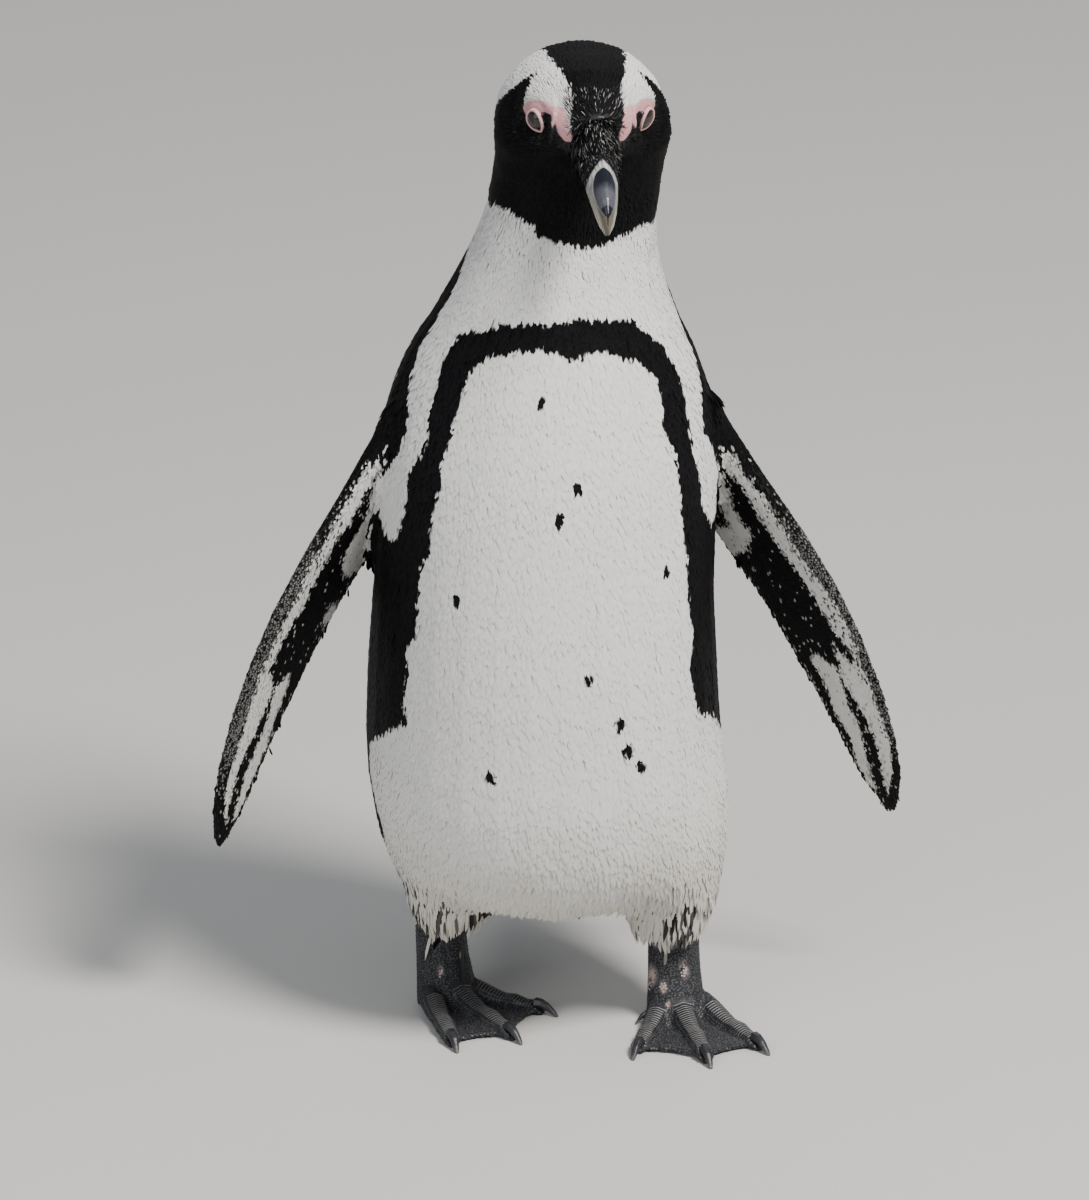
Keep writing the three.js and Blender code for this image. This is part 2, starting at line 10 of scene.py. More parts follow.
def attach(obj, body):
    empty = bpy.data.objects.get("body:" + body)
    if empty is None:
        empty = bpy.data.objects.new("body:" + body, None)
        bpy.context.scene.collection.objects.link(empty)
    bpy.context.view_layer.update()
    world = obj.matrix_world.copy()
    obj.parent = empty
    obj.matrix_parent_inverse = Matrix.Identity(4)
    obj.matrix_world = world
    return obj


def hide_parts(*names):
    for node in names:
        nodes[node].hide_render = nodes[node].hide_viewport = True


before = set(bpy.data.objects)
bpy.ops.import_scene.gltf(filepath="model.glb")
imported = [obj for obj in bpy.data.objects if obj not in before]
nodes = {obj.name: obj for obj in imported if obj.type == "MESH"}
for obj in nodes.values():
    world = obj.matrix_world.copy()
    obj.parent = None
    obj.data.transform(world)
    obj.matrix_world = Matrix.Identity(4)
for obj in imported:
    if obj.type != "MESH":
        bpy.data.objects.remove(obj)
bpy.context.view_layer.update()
scene = bpy.context.scene

# The bird's own frame is in millimetres: +X to its left, "ahead" towards its bill, +Z up from the floor.
bird = {
    "shift": (-4.763, 2.652, 0.0),  # from the bird's own frame to the shared one
    "spine": [  # height, then sideways and ahead place of the body's middle line
        (54, 0, 8), (110, -2, 15), (175, -3.4, 17), (246, -3, 19), (306, 0, 20),
        (353, 3.5, 20), (377, 7, 21), (395, 10, 23), (412, 12.3, 25), (448, 13, 26),
    ],
    "gape": (12.5, 68, 429),  # sideways, ahead, height: the middle of the mouth's corner line
    "bow": 25,
    "tilt": 1.5,
    "turn": -1,
    "eye": (-18.8, 3, 21),  # along the bill's line, up and sideways in the head's frame
    "eyeRadius": 7,
    "eyeLooks": (0.61, -0.02, 0.79),  # the same axes
}


# small tools

def toBird(points):
    return np.asarray(points, float) * 1000 - np.array(bird["shift"])


def toShared(points):
    return (np.asarray(points, float) + np.array(bird["shift"])) / 1000


def smooth(low, high, value):
    t = np.clip((value - low) / (high - low), 0, 1)
    return t * t * (3 - 2 * t)


def unit(vectors):
    return vectors / (np.linalg.norm(vectors, axis=-1, keepdims=True) + 1e-12)


def headTurn():
    b, t, u = (math.radians(bird[key]) for key in ("bow", "tilt", "turn"))
    return np.array(Matrix.Rotation(u, 3, "Z") @ Matrix.Rotation(b, 3, "X") @ Matrix.Rotation(t, 3, "Y"))


headAxes = headTurn()
headPlace = np.array((bird["gape"][0], -bird["gape"][1], bird["gape"][2]), float)


def inHead(points):  # bird's frame -> along, up, side
    q = (points - headPlace) @ headAxes
    return np.stack((-q[:, 1], q[:, 2], q[:, 0]), 1)


def fromHead(points):
    p = np.atleast_2d(np.asarray(points, float))
    return np.stack((p[:, 2], -p[:, 0], p[:, 1]), 1) @ headAxes.T + headPlace


def bodyAngle(points):  # degrees round the body's middle line, 0 at the breast and + on the bird's left
    rows = np.array(bird["spine"], float)
    x = np.interp(points[:, 2], rows[:, 0], rows[:, 1])
    ahead = np.interp(points[:, 2], rows[:, 0], rows[:, 2])
    return np.degrees(np.arctan2(points[:, 0] - x, -points[:, 1] - ahead))


def edgeDistance(points, outline, closed=True):
    # distance to an outline in the plane, positive inside it
    best = np.full(len(points), 1e9)
    inside = np.zeros(len(points), bool)
    corners = np.asarray(outline, float)
    ends = np.roll(corners, -1, 0)
    last = len(corners) if closed else len(corners) - 1
    for a, b in zip(corners[:last], ends[:last]):
        step = b - a
        share = np.clip(((points - a) @ step) / (step @ step + 1e-9), 0, 1)
        best = np.minimum(best, np.linalg.norm(points - a - share[:, None] * step, axis=1))
        if closed:
            crosses = (a[1] > points[:, 1]) != (b[1] > points[:, 1])
            rise = b[1] - a[1] if abs(b[1] - a[1]) > 1e-9 else 1e-9
            inside ^= crosses & (points[:, 0] < a[0] + (points[:, 1] - a[1]) * step[0] / rise)
    return np.where(inside, best, -best) if closed else best


def readPoints(mesh):
    found = np.empty(len(mesh.vertices) * 3, np.float32)
    mesh.vertices.foreach_get("co", found)
    return found.reshape(-1, 3).astype(float)


def readNormals(mesh):
    found = np.empty(len(mesh.vertices) * 3, np.float32)
    mesh.vertices.foreach_get("normal", found)
    return found.reshape(-1, 3).astype(float)


def writePoints(mesh, points):
    mesh.vertices.foreach_set("co", np.asarray(points, np.float32).ravel())
    mesh.update()


def readEdges(mesh):
    found = np.empty(len(mesh.edges) * 2, np.int32)
    mesh.edges.foreach_get("vertices", found)
    return found.reshape(-1, 2)


def store(mesh, name, values, domain="POINT"):
    values = np.asarray(values, np.float32)
    kind = "FLOAT" if values.ndim == 1 else "FLOAT_VECTOR"
    layer = mesh.attributes.get(name) or mesh.attributes.new(name, kind, domain)
    layer.data.foreach_set("value" if values.ndim == 1 else "vector", values.ravel())


def neighbourMean(edges, values, count):
    # the mean over each point's neighbours
    a, b = edges[:, 0], edges[:, 1]
    degree = np.bincount(a, minlength=count) + np.bincount(b, minlength=count)
    columns = []
    for k in range(values.shape[1]):
        total = np.bincount(a, values[b, k], count) + np.bincount(b, values[a, k], count)
        columns.append(total / np.maximum(degree, 1))
    return np.stack(columns, 1)


def relax(edges, points, weight, rounds, push=0.0):
    # evens out a surface; a push over 0 swells it back each round, so that it doesn't shrink
    w = weight[:, None]
    for _ in range(rounds):
        points = points + w * 0.5 * (neighbourMean(edges, points, len(points)) - points)
        if push:
            points = points - w * push * (neighbourMean(edges, points, len(points)) - points)
    return points


def addObject(name, mesh):
    made = bpy.data.objects.new(name, mesh)
    scene.collection.objects.link(made)
    return made


def baked(made):
    # the modifiers' result as a plain mesh
    graph = bpy.context.evaluated_depsgraph_get()
    mesh = bpy.data.meshes.new_from_object(made.evaluated_get(graph), depsgraph=graph)
    old = made.data
    made.modifiers.clear()
    made.data = mesh
    if old.users == 0:
        bpy.data.meshes.remove(old)
    return made


def weldedNode(name, swell=0.0):
    # a CAD node's points, joined where its triangles meet and swollen along its normals
    mesh = nodes[name].data
    points = readPoints(mesh)
    mesh.calc_loop_triangles()
    faces = np.empty(len(mesh.loop_triangles) * 3, np.int32)
    mesh.loop_triangles.foreach_get("vertices", faces)
    _, first, back = np.unique(np.round(points * 1e6).astype(np.int64), axis=0, return_index=True,
                               return_inverse=True)
    faces = back.ravel()[faces].reshape(-1, 3)
    points = points[first]
    across = np.cross(points[faces[:, 1]] - points[faces[:, 0]], points[faces[:, 2]] - points[faces[:, 0]])
    normals = np.zeros_like(points)
    for k in range(3):
        np.add.at(normals, faces[:, k], across)
    return points + unit(normals) * swell, faces


# the skin

skinLook = {
    "voxel": 0.0016,  # the even mesh drawn over the flesh
    "swell": 0.0003,  # closes the thin cuts between the parts
    "bodyRounds": 60,
    "headRounds": 12,
    "thinRounds": 8,
    "keepShare": 0.42,  # of the faces, once the body under its feathers is thinned out
    "coatDepth": {"trunk": 2.4, "neck": 2.0, "head": 1.5, "leg": 3.0, "flipper": 0.5, "tail": 1.2,
                  "foot": 0.0},
}
fleshParts = ["head", "neck", "trunk", "leg_left", "leg_right", "flipper_left", "flipper_right", "tail",
              "foot_left", "foot_right"]
partKinds = ["head", "neck", "trunk", "leg", "flipper", "tail", "foot"]


def joinedFlesh():
    points, faces, owners = [], [], []
    count = 0
    for name in fleshParts + ["eye_left", "eye_right"]:
        p, f = weldedNode(name, skinLook["swell"])
        points.append(p)
        faces.append(f + count)
        kind = "head" if name.startswith("eye") else name.split("_")[0]
        owners.append(np.full(len(f), partKinds.index(kind)))
        count += len(p)
    return np.concatenate(points), np.concatenate(faces), np.concatenate(owners)


def drawnOver():
    points, faces, owners = joinedFlesh()
    mesh = bpy.data.meshes.new("flesh")
    mesh.from_pydata(points.tolist(), [], faces.tolist())
    made = addObject("skin", mesh)
    over = made.modifiers.new("drawOver", "REMESH")
    over.mode = "VOXEL"
    over.voxel_size = skinLook["voxel"]
    baked(made)
    return made, BVHTree.FromPolygons(points.tolist(), faces.tolist()), owners


def nearestKinds(points, tree, owners):
    kinds = np.zeros(len(points), int)
    places = np.zeros((len(points), 3))
    for i, p in enumerate(points.tolist()):
        place, _, face, _ = tree.find_nearest(p)
        kinds[i] = owners[face]
        places[i] = place
    return kinds, places


skin, fleshTree, fleshOwners = drawnOver()
print("skin drawn over the flesh:", len(skin.data.vertices), "points")


def shareOf(kinds, edges, wanted, rounds=10):
    # 1 on the wanted parts, easing to 0 past their edges
    share = np.isin(kinds, [partKinds.index(k) for k in wanted]).astype(float)[:, None]
    for _ in range(rounds):
        share = 0.5 * share + 0.5 * neighbourMean(edges, share, len(share))
    return share[:, 0]


points = readPoints(skin.data)
edges = readEdges(skin.data)
kinds, _ = nearestKinds(points, fleshTree, fleshOwners)
bodyShare = shareOf(kinds, edges, ["trunk", "neck", "leg"])
headShare = shareOf(kinds, edges, ["head"])
points = relax(edges, points, bodyShare, skinLook["bodyRounds"], 0.51)
points = relax(edges, points, headShare, skinLook["headRounds"], 0.51)
points = relax(edges, points, 1 - np.clip(bodyShare + headShare, 0, 1), skinLook["thinRounds"], 0.51)
writePoints(skin.data, points)

# fewer faces where feathers will hide them
group = skin.vertex_groups.new(name="underCoat")
inner = np.where(shareOf(kinds, edges, ["trunk", "neck"], 4) > 0.98)[0]
group.add(inner.tolist(), 1.0, "REPLACE")
thin = skin.modifiers.new("thinOut", "DECIMATE")
thin.ratio = skinLook["keepShare"]
thin.vertex_group = "underCoat"
thin.vertex_group_factor = 10
baked(skin)
print("skin thinned:", len(skin.data.vertices), "points", len(skin.data.polygons), "faces")


# finer skin at the feet and eyes, the lids, and the room for the coat

lidLook = {
    "opening": (4.6, 3.4),  # half length and half height of the eye's opening, mm along the eyeball
    "middle": (0.8, 0.4),  # from where the eyeball looks: towards the bill, and up
    "corner": 0.8,  # how far the tear corner draws out
    "slant": -60,  # degrees that the opening's long axis drops towards the bill
    "ring": 0.7,  # height of the lid's ring
    "ringWidth": 0.85,
    "fold": 0.4,  # the skin fold over the lid
    "reach": 5.2,  # where the lid has run out into the head
}


def refine(mesh, chosen):
    # splits the faces whose points are all chosen, and closes the seam with triangles
    work = bmesh.new()
    work.from_mesh(mesh)
    work.verts.ensure_lookup_table()
    picked = [e for e in work.edges if chosen[e.verts[0].index] and chosen[e.verts[1].index]]
    bmesh.ops.subdivide_edges(work, edges=picked, cuts=1, use_grid_fill=True)
    bmesh.ops.triangulate(work, faces=[f for f in work.faces if len(f.verts) > 4])
    work.to_mesh(mesh)
    work.free()
    mesh.update()


def eyeAxes(side):
    # middle of the eyeball, where it looks, towards the bill, and up, in the bird's frame
    along, up, out = bird["eye"]
    middle = fromHead((along, up, side * out))[0]
    look = fromHead((bird["eyeLooks"][0], bird["eyeLooks"][1], side * bird["eyeLooks"][2]))[0] - headPlace
    look = unit(look)
    billward = fromHead((1, 0, 0))[0] - headPlace
    billward = unit(billward - look * (billward @ look))
    upward = np.cross(billward, look) * side
    return middle, look, billward, upward


def eyePlane(points, side):
    # millimetres along the eyeball from the middle of the look: towards the bill, and up
    middle, look, billward, upward = eyeAxes(side)
    away = unit(points - middle)
    turn = np.arccos(np.clip(away @ look, -1, 1))
    flat = away - (away @ look)[:, None] * look
    flat = unit(flat) * (turn * bird["eyeRadius"])[:, None]
    return flat @ billward, flat @ upward, np.linalg.norm(points - middle, axis=1)


def openingDistance(forward, up):
    # millimetres outside the eye's opening, which draws out to a tear corner towards the bill
    slant = math.radians(lidLook["slant"])
    forward, up = forward - lidLook["middle"][0], up - lidLook["middle"][1]
    a = forward * math.cos(slant) + up * math.sin(slant)
    b = -forward * math.sin(slant) + up * math.cos(slant)
    long, high = lidLook["opening"]
    radius = np.hypot(a, b) + 1e-9
    turn = np.arctan2(b, a)
    edge = long * high / np.hypot(high * np.cos(turn), long * np.sin(turn))
    edge = edge + lidLook["corner"] * np.exp(-(turn / 0.32) ** 2)
    return radius - edge


def shapedLids(points):
    for side in (-1, 1):
        middle = eyeAxes(side)[0]
        forward, up, radius = eyePlane(points, side)
        near = (np.hypot(forward, up) < 13) & (radius < 13)
        out = openingDistance(forward[near], up[near])
        size = bird["eyeRadius"]
        lid = size - 1.3 + 1.55 * smooth(-0.55, 0.15, out)
        lid += lidLook["ring"] * np.exp(-((out - 0.95) / lidLook["ringWidth"]) ** 2)
        lid -= 0.3 * np.exp(-((out - 2.5) / 0.55) ** 2)
        above = smooth(-1.5, 3.0, up[near] - 0.3 * forward[near])
        lid += lidLook["fold"] * above * np.exp(-((out - 3.5) / 0.8) ** 2)
        ease = smooth(2.6, lidLook["reach"], out)
        wanted = lid * (1 - ease) + radius[near] * ease
        points[near] = middle + unit(points[near] - middle) * wanted[:, None]
    return points


spots = toBird(readPoints(skin.data))
refine(skin.data, spots[:, 2] < 44)
for reach in (15, 12.5):
    spots = toBird(readPoints(skin.data))
    close = np.zeros(len(spots), bool)
    for side in (-1, 1):
        close |= np.linalg.norm(spots - eyeAxes(side)[0], axis=1) < reach
    refine(skin.data, close)

points = readPoints(skin.data)
edges = readEdges(skin.data)
kinds, places = nearestKinds(points, fleshTree, fleshOwners)
footShare = shareOf(kinds, edges, ["foot"], 3)
bare = footShare * smooth(0.046, 0.040, points[:, 2])
points += bare[:, None] * 0.85 * (places - points)  # back on to the foot's own faces
points = relax(edges, points, bare * 0.9, 7, 0.5)
points = relax(edges, points, footShare * smooth(0.013, 0.019, points[:, 2]) * 0.95, 40, 0.51)
spots = toBird(points)
headShare = shareOf(kinds, edges, ["head"], 2)
spots = np.where(headShare[:, None] > 0.5, shapedLids(spots.copy()), spots)

faceDistance = np.full(len(spots), 1e9)  # millimetres past the eyes' openings
for side in (-1, 1):
    forward, up, radius = eyePlane(spots, side)
    far = np.where(radius < 14, openingDistance(forward, up), 1e9)
    faceDistance = np.minimum(faceDistance, far)
depth = np.array([skinLook["coatDepth"][k] for k in partKinds])[kinds][:, None]
for _ in range(14):
    depth = 0.4 * depth + 0.6 * neighbourMean(edges, depth, len(depth))
depth = depth[:, 0] * smooth(5.0, 10.0, faceDistance) * (1 - bare)
writePoints(skin.data, toShared(spots))
normals = readNormals(skin.data)
spots = spots - normals * (depth + 1000 * skinLook["swell"])[:, None]
spots[:, 2] = np.maximum(spots[:, 2], 0.02)
writePoints(skin.data, toShared(spots))
skin.data.polygons.foreach_set("use_smooth", np.ones(len(skin.data.polygons), bool))
skin.data.validate()
print("skin finished:", len(skin.data.vertices), "points", len(skin.data.polygons), "faces")


# markings: how far, in millimetres, a place lies inside the dark plumage (negative in the white)

markLook = {
    "degree": 1.3,  # millimetres round the body for each degree
    "bib": [  # white breast, belly and thighs: angle round the body and height
        (-8, 336), (-1, 333), (6, 334), (14, 336), (22, 333), (35, 328), (44, 321), (45, 312), (43, 298),
        (47, 286), (48, 273), (48, 259), (49, 240), (49, 214), (51, 200), (48, 185), (50, 169), (53, 161),
        (61, 158), (74, 145), (86, 136), (89, 119), (88, 105), (88, 95), (95, 84), (108, 76), (125, 68),
        (145, 62), (181, 58), (181, -9), (-181, -9), (-181, 58), (-145, 62), (-125, 68), (-108, 76),
        (-95, 84), (-86, 91), (-84, 98), (-87, 112), (-88, 119), (-88, 132), (-84, 140), (-67, 153),
        (-60, 161), (-56, 161), (-59, 171), (-57, 186), (-58, 197), (-54, 205), (-54, 218), (-54, 236),
        (-51, 246), (-51, 260), (-50, 276), (-51, 287), (-50, 294), (-50, 303), (-49, 315), (-49, 322),
        (-47, 327), (-41, 333), (-32, 335), (-19, 337)],
    "collar": [  # white neck, and the stripes it sends down in front of the flippers
        (-149, 412), (-146, 403), (-140, 391), (-131, 382), (-118, 375), (-106, 371), (-98, 366), (-87, 357),
        (-85, 340), (-84, 329), (-80, 321),
        (-78, 312), (-74, 303), (-71, 294), (-73, 284), (-80, 272), (-90, 262), (-88, 250), (-77, 244),
        (-69, 243), (-65, 256), (-64, 266), (-66, 275), (-64, 281), (-60, 291), (-62, 302), (-63, 313),
        (-64, 323), (-64, 332), (-61, 340), (-53, 341), (-37, 347), (-21, 348), (-10, 348), (2, 350),
        (21, 348), (35, 347), (44, 339), (51, 334), (55, 327), (59, 318), (59, 307), (58, 297), (58, 284),
        (61, 271), (61, 257), (70, 244), (78, 246), (86, 258), (80, 270), (74, 280), (67, 290), (70, 301),
        (77, 312), (79, 322), (80, 336), (82, 349), (86, 360), (98, 372), (108, 375), (120, 378), (132, 384),
        (141, 392), (147, 403), (150, 412)],
    "chin": [  # angle round the neck and height of the mask's lower edge
        (-180, 391), (-82, 391), (-77, 394), (-60, 394), (-49, 392), (-38, 390), (-24, 386), (-15, 383),
        (-4, 381), (10, 380), (23, 383), (39, 386), (51, 387), (65, 384), (76, 385), (180, 385)],
    "mask": [  # black face seen from the side: along the bill's line and up
        (30, 4), (3, 3), (0.5, 4), (-1.5, 4), (-4.5, 7), (-7, 10), (-10.5, 12), (-14.2, 11.6), (-16.5, 8),
        (-17.5, 3), (-18.5, 0.5), (-20, 1), (-23, 3), (-25.5, 6), (-28, 8.3), (-31, 9.5),
        (-37, 11), (-38, 5), (-38.5, 0), (-42, -7), (-46.5, -16), (-48, -28), (-45, -40), (-40, -52),
        (-36, -70), (30, -70)],
    "crown": [  # along the head, and half the width of the black stripe over it
        (-90, 30), (-72, 25), (-64, 20), (-55, 17.5), (-45, 17), (-34, 14.7), (-24, 12), (-16, 11.2),
        (-10, 11.5), (-5, 12.6), (0, 13), (6, 30)],
    "crownMiddle": 1.4,
    "spots": [(-13, 315), (3, 278), (-3, 265), (-38, 226), (38, 234), (7, 191), (18, 168), (21, 155),
              (25, 146), (-25, 145)],
    "spotSize": (2.2, 3.2),  # half width and half height of a dark fleck on the belly
    # under a flipper: share of its length, and -1 leading to 1 trailing edge
    "flipperWhite": {
        "right": [
            [(0.10, -0.80), (0.126, -0.86), (0.168, -0.94), (0.223, -0.92), (0.286, -0.87), (0.328, -0.83),
             (0.367, -0.82), (0.406, -0.77), (0.448, -0.70), (0.50, -0.70), (0.577, -0.70), (0.633, -0.70),
             (0.64, -0.56), (0.633, -0.47), (0.592, -0.46), (0.55, -0.46), (0.525, -0.50), (0.50, -0.44),
             (0.467, -0.41), (0.433, -0.46), (0.402, -0.50), (0.365, -0.54), (0.334, -0.60), (0.307, -0.64),
             (0.282, -0.60), (0.242, -0.67), (0.207, -0.73), (0.176, -0.75), (0.12, -0.70)],
            [(0.13, -0.62), (0.179, -0.64), (0.201, -0.62), (0.241, -0.37), (0.269, -0.25), (0.304, -0.17),
             (0.329, -0.13), (0.354, -0.01), (0.38, 0.16), (0.395, 0.4), (0.40, 0.65), (0.39, 0.9),
             (0.30, 0.78), (0.2, 0.62), (0.10, 0.3)],
            [(0.46, 0.62), (0.465, 0.85), (0.475, 1.1), (0.50, 1.1), (0.51, 0.8), (0.495, 0.6)],
            [(0.633, -0.62), (0.686, -0.63), (0.73, -0.54), (0.768, -0.54), (0.787, -0.50), (0.812, -0.57),
             (0.866, -0.55), (0.927, -0.32), (0.95, -0.1), (0.955, 0.35), (0.93, 0.7), (0.902, 0.73),
             (0.839, 0.71), (0.783, 0.77), (0.712, 0.56), (0.655, 0.54), (0.613, 0.35), (0.63, 0.12),
             (0.65, -0.02), (0.625, -0.2), (0.60, -0.45)]],
        "left": [
            [(0.11, -0.66), (0.143, -0.74), (0.165, -0.83), (0.211, -0.80), (0.263, -0.81), (0.331, -0.75),
             (0.368, -0.72), (0.437, -0.74), (0.495, -0.78), (0.53, -0.81), (0.562, -0.84), (0.62, -0.80),
             (0.66, -0.74), (0.652, -0.61), (0.617, -0.61), (0.576, -0.48), (0.548, -0.53), (0.518, -0.47),
             (0.493, -0.45), (0.433, -0.43), (0.364, -0.42), (0.332, -0.45), (0.303, -0.48), (0.275, -0.53),
             (0.244, -0.58), (0.192, -0.57), (0.13, -0.50)],
            [(0.12, -0.42), (0.17, -0.40), (0.214, -0.38), (0.252, -0.18), (0.29, 0.0), (0.322, 0.03),
             (0.345, 0.04), (0.37, 0.3), (0.387, 0.61), (0.40, 1.15), (0.335, 1.15), (0.325, 0.82),
             (0.329, 0.45), (0.238, 0.1), (0.16, -0.05), (0.12, -0.2)],
            [(0.66, -0.72), (0.717, -0.77), (0.77, -0.73), (0.813, -0.78), (0.854, -0.76), (0.906, -0.62),
             (0.938, -0.37), (0.965, 0.0), (0.97, 0.55), (0.93, 0.85), (0.891, 0.84), (0.839, 0.60),
             (0.803, 0.60), (0.755, 0.67), (0.724, 0.58), (0.679, 0.5), (0.634, 0.58), (0.625, 0.3),
             (0.65, 0.05), (0.661, -0.21), (0.60, -0.30), (0.645, -0.47)]],
    },
    # the dark line down the white lower half: share, place, and half its width in millimetres
    "flipperStripe": {
        "right": [(0.64, 0.02, 0.5), (0.68, 0.06, 1.9), (0.727, 0.12, 3.2), (0.77, 0.05, 3.8),
                  (0.814, 0.0, 3.9), (0.862, 0.0, 3.7), (0.909, 0.05, 3.2), (0.953, 0.33, 3.0),
                  (0.99, 0.3, 4)],
        "left": [(0.66, -0.10, 0.5), (0.70, -0.04, 1.0), (0.745, -0.06, 3.0), (0.79, -0.12, 3.2),
                 (0.84, -0.08, 4.0), (0.875, 0.0, 4.2), (0.93, 0.2, 3.2), (0.99, 0.3, 4)],
    },
    "pink": [  # bare skin round the eye: along and up
        (0.5, 4), (-1, 8), (-5.5, 12.3), (-11, 14), (-16.5, 13.2), (-20.5, 10.5), (-23.3, 7.2), (-24.5, 3),
        (-22, 0), (-17, 2), (-14.2, 6), (-13.2, 9.6), (-10.5, 10.6), (-7, 8.0), (-4.5, 5.2), (-1.5, 3)],
    "ring": (1.75, 1.1, 0.9),  # width of the bare ring round the eye, and what it gains at the back and below
}
# as the part has them: root, tip, bow, turn of the leading edge, and rows of share, chord, lead
flipperLook = {
    "left": ((51, 18, 305), (161, 3, 84), 6),
    "right": ((-52, 18, 305), (-150, 3, 84), 8.5),
    "turn": 41,
    "rows": [(0, 40, 0), (0.12, 46, -3), (0.24, 50, -1.5), (0.36, 49.5, 3), (0.48, 48, 6), (0.6, 45, 7),
             (0.72, 40, 7), (0.83, 33, 6), (0.92, 24, 4), (0.98, 12, 2), (1, 5, 0.5)],
}


def flipperAxes(side):
    root, tip, bow = flipperLook[side]
    start = np.array((root[0], -root[1], root[2]), float)
    span = np.array((tip[0], -tip[1], tip[2]), float) - start
    out = math.copysign(1, root[0])
    turn = math.radians(flipperLook["turn"])
    along = span / np.linalg.norm(span)
    lead = np.array((out * math.cos(turn), -math.sin(turn), 0))
    lead = unit(lead - along * (lead @ along))
    return start, span, along, lead, np.cross(along, lead) * out, out, bow


def onFlipper(points, side):
    # share of the length, -1 leading to 1 trailing edge, and millimetres under the blade's middle
    start, span, along, lead, under, out, bow = flipperAxes(side)
    rows = np.array(flipperLook["rows"])
    share = (points - start) @ along / np.linalg.norm(span)
    for _ in range(3):
        middle = start + span * share[:, None]
        middle[:, 0] += out * bow * np.sin(np.pi * np.clip(share, 0, 1))
        share = share + ((points - middle) @ along) / np.linalg.norm(span)
    middle = start + span * share[:, None]
    middle[:, 0] += out * bow * np.sin(np.pi * np.clip(share, 0, 1))
    middle += lead * np.interp(share, rows[:, 0], rows[:, 2])[:, None]
    back = -((points - middle) @ lead) / (np.interp(share, rows[:, 0], rows[:, 1]) / 2)
    return share, back, (points - middle) @ under


def bodyDark(points):
    angle = bodyAngle(points) * markLook["degree"]
    flat = np.stack((angle, points[:, 2]), 1)
    scale = (markLook["degree"], 1)
    bib = edgeDistance(flat, np.array(markLook["bib"]) * scale)
    collar = edgeDistance(flat, np.array(markLook["collar"]) * scale)
    flecks = np.full(len(points), -1e9)
    for place in markLook["spots"]:
        away = (flat - np.array(place) * scale) / markLook["spotSize"]
        flecks = np.maximum(flecks, 3.5 - 3.5 * np.linalg.norm(away, axis=1))
    flecks = np.where(np.abs(bodyAngle(points)) < 90, flecks, -9)
    u, v = flat[:, 0], flat[:, 1]
    tufts = np.sin(1.15 * u + 1.3 * np.sin(0.5 * v)) * np.sin(0.85 * v + 1.7 * np.sin(0.31 * u))
    return np.maximum(0.9 * tufts - np.maximum(bib, collar), flecks)


def maskDark(points):
    # black chin, face and crown
    head = inHead(points)
    chin = np.array(markLook["chin"])
    over = points[:, 2] - np.interp(bodyAngle(points), chin[:, 0], chin[:, 1])
    mask = np.minimum(edgeDistance(head[:, :2], markLook["mask"]), over)
    stripe = np.array(markLook["crown"])
    crown = np.interp(head[:, 0], stripe[:, 0], stripe[:, 1]) - np.abs(head[:, 2] - markLook["crownMiddle"])
    crown = np.minimum(crown, head[:, 1] + 46)
    nape = (np.abs(bodyAngle(points)) - 146) * 0.6
    nape = np.where((points[:, 2] > 372) & (head[:, 0] < -48), nape, -30)
    crown = np.maximum(crown, nape)
    crown = np.where((head[:, 0] > -30) & (head[:, 1] < -2) & (head[:, 0] < 2), -20, crown)
    return np.maximum(mask, crown)


def flipperDark(points, side):
    share, back, under = onFlipper(points, side)
    flat = np.stack((share * 250, back * 22), 1)
    white = np.full(len(points), -1e9)
    for outline in markLook["flipperWhite"][side]:
        white = np.maximum(white, edgeDistance(flat, np.array(outline) * (250, 22)))
    line = np.array(markLook["flipperStripe"][side])
    half = np.interp(share, line[:, 0], line[:, 2])
    rows = np.array(flipperLook["rows"])
    reach = np.interp(share, rows[:, 0], rows[:, 1]) / 2
    stripe = half - np.abs(back - np.interp(share, line[:, 0], line[:, 1])) * reach
    stripe = np.where(share > line[0, 0], stripe, -1e9)
    return np.where(under > 0, np.maximum(-white, stripe), 9.0)


def darkness(points, kinds):
    body = bodyDark(points)
    face = maskDark(points)
    # the head's own rule over the neck, the body's under it
    high = smooth(396, 404, points[:, 2] + 0.25 * (points[:, 1] + 22))
    found = np.maximum(body * (1 - high) + -30 * high, face)
    found = np.where(points[:, 2] < 372, body, found)
    flipper = kinds == partKinds.index("flipper")
    for side, sign in (("left", 1), ("right", -1)):
        here = flipper & (points[:, 0] * sign > 0)
        if here.any():
            found[here] = flipperDark(points[here], side)
    return np.where(kinds == partKinds.index("tail"), 9.0, found)


def pinkness(points):
    head = inHead(points)
    near = np.abs(head[:, 2]) > 8
    out = edgeDistance(head[:, :2], markLook["pink"])
    return np.where(near & (head[:, 1] > -12) & (head[:, 0] > -32), out, -9.0)


# what the coat reads from the skin: lie, length, width and cover

coatLook = {
    # length and width of a feather in millimetres, and how far its tip stands off, in degrees
    "breast": (12.5, 2.8, -0.5), "neck": (9.5, 2.2, -0.3), "throat": (5.0, 1.3, 1), "crown": (5.5, 1.2, 2),
    "face": (3.6, 0.95, 4), "chin": (4.2, 1.05, 3), "flipper": (3.0, 1.2, 2), "trailing": (5.0, 1.4, 0),
    "tail": (11, 2.8, 0), "thigh": (14, 2.0, 0),
}


